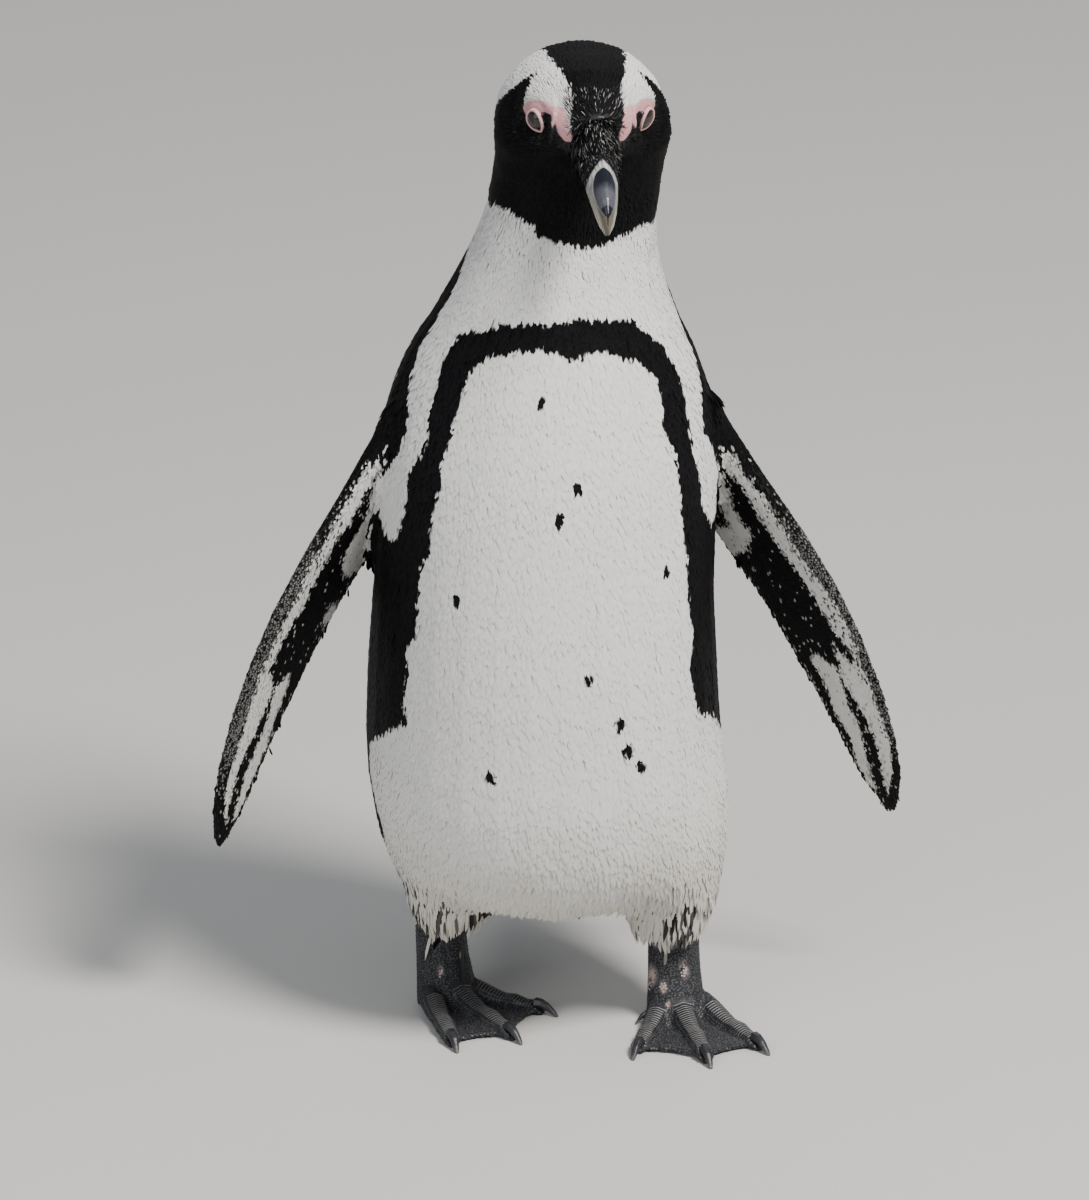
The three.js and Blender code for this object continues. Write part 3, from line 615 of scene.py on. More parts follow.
def flowOf(points, normals, kinds):
    # the way the feathers point, before they are laid on the skin
    down = np.array((0, 0, -1.0))
    flow = np.tile(down, (len(points), 1))
    under = smooth(-0.5, -0.95, normals[:, 2]) * smooth(110, 80, points[:, 2])
    flow[:, 1] += 0.30 * smooth(190, 70, points[:, 2]) + 1.5 * under
    head = inHead(points)
    high = smooth(378, 400, points[:, 2] + 0.3 * (points[:, 1] + 20))
    back = fromHead((-1, 0, 0))[0] - headPlace
    outward = fromHead(np.stack((np.zeros(len(head)), np.zeros(len(head)), head[:, 2]), 1)) - headPlace
    droop = smooth(8, -22, head[:, 1])[:, None]
    crownFlow = back * (1 - 0.55 * droop) + down * (0.15 + 0.75 * droop) + 0.01 * outward
    nape = smooth(-50, -68, head[:, 0])[:, None]
    crownFlow = crownFlow * (1 - nape) + down * nape
    flow = flow * (1 - high[:, None]) + crownFlow * high[:, None]
    for side, sign in (("left", 1), ("right", -1)):
        here = (kinds == partKinds.index("flipper")) & (points[:, 0] * sign > 0)
        _, _, along, lead, _, _, _ = flipperAxes(side)
        rear = onFlipper(points[here], side)[1]
        flow[here] = along - lead * (0.12 + 0.22 * smooth(0.6, 1.0, rear))[:, None]
    tailwise = unit(np.array((0, 0.66, -0.75)))
    flow[kinds == partKinds.index("tail")] = tailwise
    bill = fromHead((1, -0.15, 0))[0] - headPlace
    aroundBill = smooth(15, 11.5, np.hypot(head[:, 2], head[:, 1] - 2)) * smooth(-9, -4, head[:, 0])
    return unit(unit(flow) * (1 - aroundBill[:, None]) + bill * aroundBill[:, None])


def coatSizes(points, kinds):
    head = inHead(points)
    sizes = np.tile(np.array(coatLook["breast"], float), (len(points), 1))

    def ease(name, share):
        sizes[:] = sizes * (1 - share[:, None]) + np.array(coatLook[name]) * share[:, None]

    ease("neck", smooth(310, 350, points[:, 2]))
    ease("throat", smooth(355, 378, points[:, 2]))
    ease("thigh", smooth(100, 70, points[:, 2]))
    onHead = smooth(372, 396, points[:, 2] + 0.25 * (points[:, 1] + 22))
    ease("crown", onHead)
    ease("chin", onHead * smooth(-18, -34, head[:, 1]))
    ease("face", onHead * smooth(-34, -14, head[:, 0]) * smooth(-30, -14, head[:, 1]))
    for side, sign in (("left", 1), ("right", -1)):
        here = (kinds == partKinds.index("flipper")) & (points[:, 0] * sign > 0)
        share, rear, _ = onFlipper(points[here], side)
        row = np.array(coatLook["flipper"]) * np.ones((here.sum(), 1))
        edge = (smooth(0.72, 0.95, rear) * smooth(0.15, 0.3, share))[:, None]
        row = row * (1 - edge) + np.array(coatLook["trailing"]) * edge
        slimmer = (1 - 0.28 * smooth(-0.3, -0.9, rear))[:, None]
        row[:, :2] *= slimmer * (1 - 0.4 * smooth(0.88, 1.0, share))[:, None]
        root = smooth(0.22, 0.02, share)[:, None]
        sizes[here] = row * (1 - root) + np.array((5.5, 1.7, 0)) * root
    sizes[kinds == partKinds.index("tail")] = coatLook["tail"]
    return sizes


def laidOn(flow, normals):
    return unit(flow - normals * (flow * normals).sum(1)[:, None])


points = readPoints(skin.data)
normals = readNormals(skin.data)
edges = readEdges(skin.data)
kinds, _ = nearestKinds(points, fleshTree, fleshOwners)
spots = toBird(points)
bareFoot = shareOf(kinds, edges, ["foot"], 3) * smooth(40, 36, spots[:, 2])
pink = pinkness(spots)
lidGap = np.full(len(spots), 1e9)
ring = np.full(len(spots), -1e9)
plainWidth, widerBehind, widerBelow = markLook["ring"]
for side in (-1, 1):
    forward, up, radius = eyePlane(spots, side)
    gap = np.where(radius < 12.6, openingDistance(forward, up), 1e9)
    lidGap = np.minimum(lidGap, gap)
    width = plainWidth + widerBehind * smooth(1, -5, forward) + widerBelow * smooth(1, -4, up)
    ring = np.maximum(ring, width - gap)
pinkArea = np.maximum(pink, ring)
sizes = coatSizes(spots, kinds)
cover = smooth(0.4, -0.5, pinkArea) * (1 - smooth(0.3, 0.7, bareFoot))
cover *= 1 - smooth(56, 48, spots[:, 2]) * smooth(-0.3, -0.55, normals[:, 2])
cover *= 1 - smooth(50, 44, spots[:, 2]) * smooth(0.2, 0.4, normals[:, 2])
billFrom = inHead(spots)
underBill = (np.abs(billFrom[:, 2]) < 9.5) & (billFrom[:, 0] > -4) & (np.abs(billFrom[:, 1] - 2) < 11)
cover[underBill & (billFrom[:, 0] > 2.5)] = 0
flow = flowOf(spots, normals, kinds)
for _ in range(10):
    flow = 0.5 * flow + 0.5 * neighbourMean(edges, flow, len(flow))
    sizes = 0.5 * sizes + 0.5 * neighbourMean(edges, sizes, len(sizes))
nearFace = smooth(9, 1.5, -pink) * smooth(372, 396, spots[:, 2])
sizes[:, :2] *= (1 - 0.5 * nearFace)[:, None]
store(skin.data, "dark", darkness(spots, kinds))
store(skin.data, "pink", pinkArea)
store(skin.data, "lidGap", np.minimum(lidGap, 20))
store(skin.data, "foot", bareFoot)
store(skin.data, "lie", laidOn(flow, normals))
store(skin.data, "size", np.stack((sizes[:, 1] / 1000, sizes[:, 0] / 1000, sizes[:, 0] / 1000), 1))
store(skin.data, "lift", np.radians(sizes[:, 2]))
store(skin.data, "cover", cover)
store(skin.data, "kind", kinds.astype(float))
print("markings and lie stored")


# materials

def newMaterial(name):
    made = bpy.data.materials.new(name)
    made.use_nodes = True
    return made, made.node_tree, made.node_tree.nodes["Principled BSDF"]


def linked(tree, kind, settings=None, **inputs):
    # a node with its inputs set or joined, by name
    node = tree.nodes.new(kind)
    for key, value in (settings or {}).items():
        setattr(node, key, value)
    for key, value in inputs.items():
        join(tree, value, node.inputs[key.replace("_", " ")])
    return node


def join(tree, value, socket):
    if isinstance(value, bpy.types.NodeSocket):
        tree.links.new(value, socket)
    else:
        socket.default_value = value


def readValue(tree, name):
    return linked(tree, "ShaderNodeAttribute", {"attribute_name": name}).outputs["Fac"]


def mathNode(tree, kind, first, second=0.0):
    node = tree.nodes.new("ShaderNodeMath")
    node.operation = kind
    join(tree, first, node.inputs[0])
    join(tree, second, node.inputs[1])
    return node.outputs[0]


def ramp(tree, value, low, high):
    node = tree.nodes.new("ShaderNodeMapRange")
    node.interpolation_type = "SMOOTHSTEP"
    join(tree, value, node.inputs["Value"])
    node.inputs["From Min"].default_value = low
    node.inputs["From Max"].default_value = high
    return node.outputs["Result"]


def blend(tree, share, first, second, kind="MIX"):
    node = tree.nodes.new("ShaderNodeMix")
    node.data_type = "RGBA"
    node.blend_type = kind
    join(tree, share, node.inputs[0])
    join(tree, first if isinstance(first, bpy.types.NodeSocket) else (*first, 1), node.inputs[6])
    join(tree, second if isinstance(second, bpy.types.NodeSocket) else (*second, 1), node.inputs[7])
    return node.outputs[2]


def noise(tree, scale, detail=3.0, rough=0.55, vector=None):
    place = vector or linked(tree, "ShaderNodeTexCoord").outputs["Object"]
    return linked(tree, "ShaderNodeTexNoise", Vector=place, Scale=scale, Detail=detail,
                  Roughness=rough).outputs["Fac"]


bareLook = {
    # creaseShade is painted shade, for the fine wrinkles and the groove of the lid's fold
    "rose": (0.50, 0.225, 0.245), "creaseShade": (0.27, 0.085, 0.10), "ringPale": (0.62, 0.40, 0.40),
    "lidEdge": (0.012, 0.009, 0.009), "foot": (0.014, 0.015, 0.018), "footPebbleHighlight": (0.055, 0.056, 0.060),
    "blotch": (0.46, 0.36, 0.34),
    # pale worn places on the feet: middle and size in millimetres
    "blotches": [((58.9, -40.8, 25.7), 3.6), ((49.5, -41.7, 18.7), 2.8), ((44.9, -35.2, 22.2), 4.2),
                 ((43.5, -35.0, 17.5), 2.6), ((50.7, -45.7, 11.8), 1.8), ((-49.6, -10.2, 18.8), 2.2),
                 ((-39.6, -5.3, 24.7), 1.5), ((-33, -26, 9), 1.8), ((60, -30, 12), 1.8)],
}


def blotchAmount(points):
    # 1 in the middle of a worn place, drawn out up and down
    found = np.zeros(len(points))
    for middle, size in bareLook["blotches"]:
        away = (points - np.array(middle)) * (1.4, 1.0, 0.75) / size
        found = np.maximum(found, 1.2 - np.linalg.norm(away, axis=1))
    return np.clip(found, 0, 1)


def skinMaterial():
    made, tree, shader = newMaterial("skin")
    dark = ramp(tree, readValue(tree, "dark"), -0.6, 0.6)
    plumage = blend(tree, dark, (0.52, 0.51, 0.49), (0.005, 0.005, 0.006))
    gap = readValue(tree, "lidGap")
    fine = noise(tree, 700.0, 4.0)
    broad = noise(tree, 160.0, 3.0)
    rose = blend(tree, mathNode(tree, "MULTIPLY", broad, 0.7), bareLook["rose"], bareLook["ringPale"])
    # painted shade: the rose is darker in the low places of the fine wrinkles, the same noise that lowers the
    # bump
    rose = blend(tree, mathNode(tree, "MULTIPLY", ramp(tree, fine, 0.55, 0.3), 0.3), rose, bareLook["creaseShade"])
    inRing = mathNode(tree, "MULTIPLY", ramp(tree, gap, 0.3, 0.75), ramp(tree, gap, 2.1, 1.5))
    rose = blend(tree, mathNode(tree, "MULTIPLY", inRing, 0.8), rose, bareLook["ringPale"])
    # painted shade in the groove of the skin fold round the lid
    fold = mathNode(tree, "MULTIPLY", ramp(tree, gap, 1.9, 2.3), ramp(tree, gap, 3.0, 2.5))
    rose = blend(tree, mathNode(tree, "MULTIPLY", fold, 0.8), rose, bareLook["creaseShade"])
    rose = blend(tree, ramp(tree, gap, 0.45, 0.1), rose, bareLook["lidEdge"])
    pink = ramp(tree, readValue(tree, "pink"), -0.3, 0.4)
    colour = blend(tree, pink, plumage, rose)
    # painted highlight: each pebble's raised middle is paler than its low edge
    pebbles = linked(tree, "ShaderNodeTexVoronoi",
                     Vector=linked(tree, "ShaderNodeTexCoord").outputs["Object"],
                     Scale=820.0).outputs["Distance"]
    hide = blend(tree, ramp(tree, pebbles, 0.45, 0.15), bareLook["foot"], bareLook["footPebbleHighlight"])
    worn = mathNode(tree, "MULTIPLY", readValue(tree, "blotch"), ramp(tree, broad, 0.35, 0.55))
    hide = blend(tree, worn, hide, bareLook["blotch"])
    colour = blend(tree, readValue(tree, "foot"), colour, hide)
    tree.links.new(colour, shader.inputs["Base Color"])
    tree.links.new(mathNode(tree, "SUBTRACT", 0.72, mathNode(tree, "MULTIPLY", pink, 0.22)),
                   shader.inputs["Roughness"])
    height = mathNode(tree, "ADD", mathNode(tree, "MULTIPLY", fine, 0.5),
                      mathNode(tree, "MULTIPLY", pebbles, -0.6))
    raised = linked(tree, "ShaderNodeBump", Height=height, Strength=0.5, Distance=0.0004)
    tree.links.new(raised.outputs[0], shader.inputs["Normal"])
    shader.inputs["Specular IOR Level"].default_value = 0.35
    return made


store(skin.data, "blotch", blotchAmount(spots))
skin.data.materials.clear()
skin.data.materials.append(skinMaterial())

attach(skin, "root")
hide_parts(*fleshParts)


# the coat: solid vanes that Geometry Nodes lay along the skin

vaneLook = {
    # along the vane, half its width, and its height over the skin, all as shares of the length
    "plain": [(0.0, 0.0, 0.0), (0.34, 0.44, 0.100), (0.80, 0.43, 0.158), (1.0, 0.0, 0.166)],
    "scale": [(0.0, 0.0, 0.0), (0.38, 0.48, 0.080), (0.80, 0.46, 0.120), (1.0, 0.0, 0.122)],
    "shaggy": [(0.0, 0.0, 0.0), (0.30, 0.40, 0.10), (0.72, 0.34, 0.150), (1.0, 0.0, 0.150)],
    "rib": 0.012,  # the raised middle
}


def addTemplate(name, places, faces):
    mesh = bpy.data.meshes.new(name)
    mesh.from_pydata(places, [], faces)
    store(mesh, "vane", np.array([(x, y, 0) for x, y, _ in places]))
    return addObject(name, mesh)


def vaneObject(name, rows):
    # eight points and twelve faces, closed
    (_, _, z0), (ya, wa, za), (yb, wb, zb), (yt, _, zt) = rows
    rib = vaneLook["rib"]
    places = [(0, 0, z0), (-wa, ya, za), (0, ya, za + rib), (wa, ya, za), (-wb, yb, zb), (0, yb, zb + rib),
              (wb, yb, zb), (0, yt, zt)]
    faces = [(0, 2, 1), (0, 3, 2), (1, 2, 5), (1, 5, 4), (2, 3, 6), (2, 6, 5), (4, 5, 7), (5, 6, 7),
             (0, 1, 3), (1, 4, 6), (1, 6, 3), (4, 7, 6)]
    return addTemplate(name, places, faces)


def pebbleObject(name):
    # a low six-sided scale with the same counts
    ring = [(0.5 * math.cos(k * math.pi / 3), 0.5 + 0.5 * math.sin(k * math.pi / 3), -0.05) for k in range(6)]
    places = [(0, 0.5, -0.15)] + ring + [(0, 0.5, 0.22)]
    faces = [(1 + k, 1 + (k + 1) % 6, 7) for k in range(6)] + [(1 + (k + 1) % 6, 1 + k, 0) for k in range(6)]
    return addTemplate(name, places, faces)


def addInput(tree, name, kind, value=None):
    made = tree.interface.new_socket(name, in_out="INPUT", socket_type=kind)
    if value is not None:
        made.default_value = value
    return made.identifier


def randomNode(tree, kind, low, high, seed, shift):
    node = tree.nodes.new("FunctionNodeRandomValue")
    node.data_type = kind
    base = {"FLOAT": 2, "FLOAT_VECTOR": 0}[kind]
    join(tree, low, node.inputs[base])
    join(tree, high, node.inputs[base + 1])
    join(tree, mathNode(tree, "ADD", seed, shift), node.inputs["Seed"])
    return node.outputs[{"FLOAT": 1, "FLOAT_VECTOR": 0}[kind]]


def namedValue(tree, name, kind="FLOAT"):
    node = tree.nodes.new("GeometryNodeInputNamedAttribute")
    node.data_type = kind
    node.inputs["Name"].default_value = name
    return node.outputs["Attribute"]


def coatTree():
    tree = bpy.data.node_groups.new("featherCoat", "GeometryNodeTree")
    tree.is_modifier = True
    addInput(tree, "Skin", "NodeSocketGeometry")
    for name, kind, value in (("Vane", "NodeSocketObject", None), ("Spacing", "NodeSocketFloat", 0.0017),
                              ("Yaw", "NodeSocketFloat", 0.12), ("Lift Spread", "NodeSocketFloat", 0.02),
                              ("Size Spread", "NodeSocketFloat", 0.15), ("Sink", "NodeSocketFloat", 0.0002),
                              ("Seed", "NodeSocketInt", 1), ("Material", "NodeSocketMaterial", None)):
        addInput(tree, name, kind, value)
    tree.interface.new_socket("Coat", in_out="OUTPUT", socket_type="NodeSocketGeometry")
    given = tree.nodes.new("NodeGroupInput").outputs
    seed = given["Seed"]
    spread = tree.nodes.new("GeometryNodeDistributePointsOnFaces")
    spread.distribute_method = "POISSON"
    tree.links.new(given["Skin"], spread.inputs["Mesh"])
    tree.links.new(given["Spacing"], spread.inputs["Distance Min"])
    square = mathNode(tree, "MULTIPLY", given["Spacing"], given["Spacing"])
    tree.links.new(mathNode(tree, "DIVIDE", 3.2, square), spread.inputs["Density Max"])
    tree.links.new(namedValue(tree, "cover"), spread.inputs["Density Factor"])
    tree.links.new(seed, spread.inputs["Seed"])
    facing = tree.nodes.new("FunctionNodeAxesToRotation")
    facing.primary_axis = "Z"
    facing.secondary_axis = "Y"
    tree.links.new(spread.outputs["Normal"], facing.inputs[0])
    tree.links.new(namedValue(tree, "lie", "FLOAT_VECTOR"), facing.inputs[1])
    lift = randomNode(tree, "FLOAT", mathNode(tree, "MULTIPLY", given["Lift Spread"], -1.0),
                      given["Lift Spread"], seed, 11)
    lift = mathNode(tree, "ADD", lift, namedValue(tree, "lift"))
    yaw = randomNode(tree, "FLOAT", mathNode(tree, "MULTIPLY", given["Yaw"], -1.0), given["Yaw"], seed, 23)
    euler = linked(tree, "ShaderNodeCombineXYZ", X=lift, Z=yaw).outputs[0]
    turned = tree.nodes.new("FunctionNodeRotateRotation")
    turned.rotation_space = "LOCAL"
    tree.links.new(facing.outputs[0], turned.inputs[0])
    tree.links.new(linked(tree, "FunctionNodeEulerToRotation", Euler=euler).outputs[0], turned.inputs[1])
    least = mathNode(tree, "SUBTRACT", 1.0, given["Size Spread"])
    most = mathNode(tree, "ADD", 1.0, given["Size Spread"])
    grow = randomNode(tree, "FLOAT", least, most, seed, 37)
    size = tree.nodes.new("ShaderNodeVectorMath")
    size.operation = "MULTIPLY"
    tree.links.new(namedValue(tree, "size", "FLOAT_VECTOR"), size.inputs[0])
    tree.links.new(linked(tree, "ShaderNodeCombineXYZ", X=grow, Y=grow, Z=1.0).outputs[0], size.inputs[1])
    kept = spread.outputs["Points"]
    position = tree.nodes.new("GeometryNodeInputPosition").outputs[0]
    for name, kind, value in (("root", "FLOAT_VECTOR", position),
                              ("facing", "FLOAT_VECTOR", spread.outputs["Normal"]),
                              ("shade", "FLOAT", randomNode(tree, "FLOAT", 0.0, 1.0, seed, 41)),
                              ("chance", "FLOAT", randomNode(tree, "FLOAT", 0.0, 1.0, seed, 53)),
                              ("long", "FLOAT", grow)):
        node = tree.nodes.new("GeometryNodeStoreNamedAttribute")
        node.data_type = kind
        node.domain = "POINT"
        node.inputs["Name"].default_value = name
        tree.links.new(kept, node.inputs["Geometry"])
        tree.links.new(value, node.inputs["Value"])
        kept = node.outputs["Geometry"]
    sunk = tree.nodes.new("ShaderNodeVectorMath")
    sunk.operation = "SCALE"
    tree.links.new(spread.outputs["Normal"], sunk.inputs[0])
    tree.links.new(mathNode(tree, "MULTIPLY", given["Sink"], -1.0), sunk.inputs["Scale"])
    moved = linked(tree, "GeometryNodeSetPosition", Geometry=kept, Offset=sunk.outputs[0])
    info = tree.nodes.new("GeometryNodeObjectInfo")
    tree.links.new(given["Vane"], info.inputs["Object"])
    laid = tree.nodes.new("GeometryNodeInstanceOnPoints")
    tree.links.new(moved.outputs[0], laid.inputs["Points"])
    tree.links.new(info.outputs["Geometry"], laid.inputs["Instance"])
    tree.links.new(turned.outputs[0], laid.inputs["Rotation"])
    tree.links.new(size.outputs[0], laid.inputs["Scale"])
    real = linked(tree, "GeometryNodeRealizeInstances", Geometry=laid.outputs[0])
    painted = linked(tree, "GeometryNodeSetMaterial", Geometry=real.outputs[0], Material=given["Material"])
    out = tree.nodes.new("NodeGroupOutput")
    tree.links.new(painted.outputs[0], out.inputs[0])
    return tree


def readAttribute(mesh, name):
    layer = mesh.attributes[name]
    wide = 3 if layer.data_type == "FLOAT_VECTOR" else 1
    found = np.empty(len(layer.data) * wide, np.float32)
    layer.data.foreach_get("vector" if wide == 3 else "value", found)
    return found.reshape(-1, 3).astype(float) if wide == 3 else found.astype(float)


def sheetPlace(spots, kinds):
    # the skin laid flat: u and v in millimetres, each part a sheet of its own
    radius = np.where(spots[:, 2] > 350, 48, 78)
    u = np.radians(bodyAngle(spots)) * radius
    v = spots[:, 2].copy()
    for side, sign in (("left", 1), ("right", -1)):
        here = (kinds == partKinds.index("flipper")) & (spots[:, 0] * sign > 0)
        share, rear, under = onFlipper(spots[here], side)
        u[here] = rear * 24 + sign * (420 + np.where(under > 0, 0, 70))
        v[here] = 310 - share * 250
    return np.stack((u, v), 1)


def addBakeMap(mesh, places):
    # each vane a small patch at its root's place on the sheet
    vane = readAttribute(mesh, "vane")[:, :2]
    low, high = places.min(0), places.max(0)
    flat = 0.01 + 0.98 * (places - low) / np.maximum(high - low, 1e-6)
    flat = np.clip(flat, 0.003, 0.997) + (vane - (0, 0.5)) * 0.003
    corners = np.empty(len(mesh.loops), np.int32)
    mesh.loops.foreach_get("vertex_index", corners)
    layer = mesh.uv_layers.new(name="OFBake")
    layer.data.foreach_set("uv", flat[corners].astype(np.float32).ravel())
    mesh.uv_layers.active = layer


def softNormals(mesh, look):
    # each vane shades almost as the skin under it does, a little round across and along
    facing = unit(readAttribute(mesh, "facing"))
    lie = unit(readAttribute(mesh, "lie"))
    vane = readAttribute(mesh, "vane")
    across = np.cross(lie, facing)
    rounded = across * (vane[:, :1] * 2 * look["round"])
    normals = facing + rounded + lie * ((vane[:, 1:2] - 0.6) * look["bend"])
    mesh.polygons.foreach_set("use_smooth", np.ones(len(mesh.polygons), bool))
    mesh.normals_split_custom_set_from_vertices(unit(normals).tolist())


def coatPiece(name, source, cover, vane, look, seed, material, tone):
    # one mesh of vanes grown on a surface
    # tone gives each its darkness from roots, shown places, kinds and chance
    made = addObject(name, source.copy())
    store(made.data, "cover", cover)
    modifier = made.modifiers.new("coat", "NODES")
    modifier.node_group = featherTree
    ids = {item.name: item.identifier for item in featherTree.interface.items_tree if item.in_out == "INPUT"}
    modifier[ids["Vane"]] = vane
    modifier[ids["Spacing"]] = look["spacing"] / 1000
    modifier[ids["Yaw"]] = math.radians(look["yaw"])
    modifier[ids["Lift Spread"]] = math.radians(look["liftSpread"])
    modifier[ids["Size Spread"]] = look["sizeSpread"]
    modifier[ids["Sink"]] = look["sink"] / 1000
    modifier[ids["Seed"]] = seed
    modifier[ids["Material"]] = material
    baked(made)
    mesh = made.data
    roots = toBird(readAttribute(mesh, "root"))[::8]
    kind = np.round(readAttribute(mesh, "kind")).astype(int)[::8]
    long = (readAttribute(mesh, "size")[:, 1] * 1000 * readAttribute(mesh, "long"))[::8]
    chance = readAttribute(mesh, "chance")[::8]
    shown = roots + readAttribute(mesh, "lie")[::8] * (long * look.get("shows", 0.72))[:, None]
    if look.get("crisp"):  # the markings cut across the vanes
        places = toBird(readPoints(mesh)) * look["crisp"] + np.repeat(shown, 8, 0) * (1 - look["crisp"])
        dark = tone(np.repeat(roots, 8, 0), places, np.repeat(kind, 8), np.repeat(chance, 8))
    else:
        dark = np.repeat(tone(roots, shown, kind, chance), 8)
    if look.get("tips"):  # grey feathers are paler towards their tips
        toTip = smooth(0.45, 0.9, readAttribute(mesh, "vane")[:, 1])
        dark = np.where((dark > 0.18) & (dark < 0.45), dark + 0.12 - look["tips"] * toTip, dark)
    store(mesh, "dark", dark)
    addBakeMap(mesh, np.repeat(sheetPlace(roots, kind), 8, 0))
    softNormals(mesh, look)
    for spare in ("root", "facing", "kind", "lie", "size", "lift", "cover", "long", "chance", "pink", "foot",
                  "lidGap", "blotch"):
        layer = mesh.attributes.get(spare)
        if layer:
            mesh.attributes.remove(layer)
    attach(made, "root")
    print(name, len(roots), "feathers")
    return made


def featherTone(roots, shown, kind, chance):
    # the markings where each feather shows, ragged at their edges, with stray feathers of the other colour
    dark = darkness(shown, kind) + (chance - 0.5) * 2.2
    stray = np.zeros(len(roots))
    grey = np.zeros(len(roots))
    onBody = (kind != partKinds.index("flipper")) * (kind != partKinds.index("tail"))
    low = smooth(68, 56, shown[:, 2]) * onBody
    outer = smooth(20, 60, np.abs(bodyAngle(shown)))
    around = np.arctan2(shown[:, 0] - 52 * np.sign(shown[:, 0]), -shown[:, 1] - 14)
    tuft = smooth(0.1, 0.7, np.sin(around * 6 + 1.3) + 0.5 * np.sin(around * 13))
    stray = np.maximum(stray, low * (0.06 + (0.45 + 0.25 * outer) * tuft))
    other = (chance * 7.31) % 1
    for side, sign in (("left", 1), ("right", -1)):
        here = (kind == partKinds.index("flipper")) & (shown[:, 0] * sign > 0)
        share, rear, under = onFlipper(shown[here], side)
        odds = np.where(dark[here] > 0, 0.03, 0.035)
        leading = smooth(-0.52, -0.68, rear) * smooth(0.2, 0.42, share) * smooth(0.90, 0.78, share)
        grey[here] = np.where(dark[here] > 0, 0.9, 0.25) * leading
        odds = np.where((rear > 0.8) & (share > 0.5), 0.15, odds)
        odds = np.where(np.abs(dark[here]) < 1.8, np.maximum(odds, 0.14), odds)
        stray[here] = np.where(under > -0.5, odds, 0.0) * smooth(0.1, 0.2, share)
    mixed = np.where(dark > 0, 0.12, -0.12) * (chance * 3.7 % 1)
    flipper = kind == partKinds.index("flipper")
    dusky = np.where(dark > 0, -3, 0.22 + 0.25 * (chance * 3.7 % 1))
    dark = np.where(other < stray, np.where(flipper, mixed, dusky), dark)
    return np.where(grey > (chance * 11.3) % 1, 0.24 + 0.16 * (chance * 5.9 % 1), dark)


def barbGroup():
    # fine streaks along each vane, different on every one
    group = bpy.data.node_groups.new("barbs", "ShaderNodeTree")
    for name, kind, value in (("Vane", "NodeSocketVector", None), ("Shade", "NodeSocketFloat", 0.5),
                              ("Across", "NodeSocketFloat", 9.0), ("Along", "NodeSocketFloat", 1.6)):
        addInput(group, name, kind, value)
    group.interface.new_socket("Streak", in_out="OUTPUT", socket_type="NodeSocketFloat")
    given = group.nodes.new("NodeGroupInput").outputs
    split = linked(group, "ShaderNodeSeparateXYZ", Vector=given["Vane"])
    place = linked(group, "ShaderNodeCombineXYZ",
                   X=mathNode(group, "MULTIPLY", split.outputs["X"], given["Across"]),
                   Y=mathNode(group, "MULTIPLY", split.outputs["Y"], given["Along"]),
                   Z=mathNode(group, "MULTIPLY", given["Shade"], 97.0))
    streak = noise(group, 1.0, 2.0, 0.5, place.outputs[0])
    out = group.nodes.new("NodeGroupOutput")
    group.links.new(streak, out.inputs[0])
    return group


def barbs(tree, across=9.0, along=1.6):
    node = tree.nodes.new("ShaderNodeGroup")
    node.node_tree = barbTree
    vane = tree.nodes.new("ShaderNodeAttribute")
    vane.attribute_name = "vane"
    tree.links.new(vane.outputs["Vector"], node.inputs["Vane"])
    tree.links.new(readValue(tree, "shade"), node.inputs["Shade"])
    node.inputs["Across"].default_value = across
    node.inputs["Along"].default_value = along
    split = linked(tree, "ShaderNodeSeparateXYZ", Vector=vane.outputs["Vector"])
    return node.outputs["Streak"], split.outputs["Y"]


def plumageMaterial(name, look):
    made, tree, shader = newMaterial(name)
    dark = ramp(tree, readValue(tree, "dark"), -0.5, 0.5)
    shade = readValue(tree, "shade")
    streak, along = barbs(tree)
    white = blend(tree, shade, look["white"], look["cream"])
    white = blend(tree, mathNode(tree, "MULTIPLY", ramp(tree, streak, 0.50, 0.25), 0.35), white, look["down"])
    height = linked(tree, "ShaderNodeSeparateXYZ",
                    Vector=linked(tree, "ShaderNodeTexCoord").outputs["Object"])
    stain = ramp(tree, mathNode(tree, "ADD", height.outputs["Z"],
                                mathNode(tree, "MULTIPLY", noise(tree, 22.0), 0.10)),
                 0.185, 0.085)
    white = blend(tree, mathNode(tree, "MULTIPLY", stain, 0.8), white, look["soiled"])
    black = blend(tree, shade, look["black"], look["brown"])
    black = blend(tree, mathNode(tree, "MULTIPLY", ramp(tree, along, 0.7, 1.0), 0.35), black, look["tip"])
    black = blend(tree, mathNode(tree, "MULTIPLY", ramp(tree, streak, 0.55, 0.75), 0.25), black, look["tip"])
    tree.links.new(blend(tree, dark, white, black), shader.inputs["Base Color"])
    rough = linked(tree, "ShaderNodeMapRange", Value=dark)
    rough.inputs["To Min"].default_value = look["roughWhite"]
    rough.inputs["To Max"].default_value = look["roughBlack"]
    tree.links.new(rough.outputs[0], shader.inputs["Roughness"])
    raised = linked(tree, "ShaderNodeBump", Height=streak, Strength=0.35, Distance=0.0003)
    tree.links.new(raised.outputs[0], shader.inputs["Normal"])
    shader.inputs["Specular IOR Level"].default_value = look["specular"]
    return made


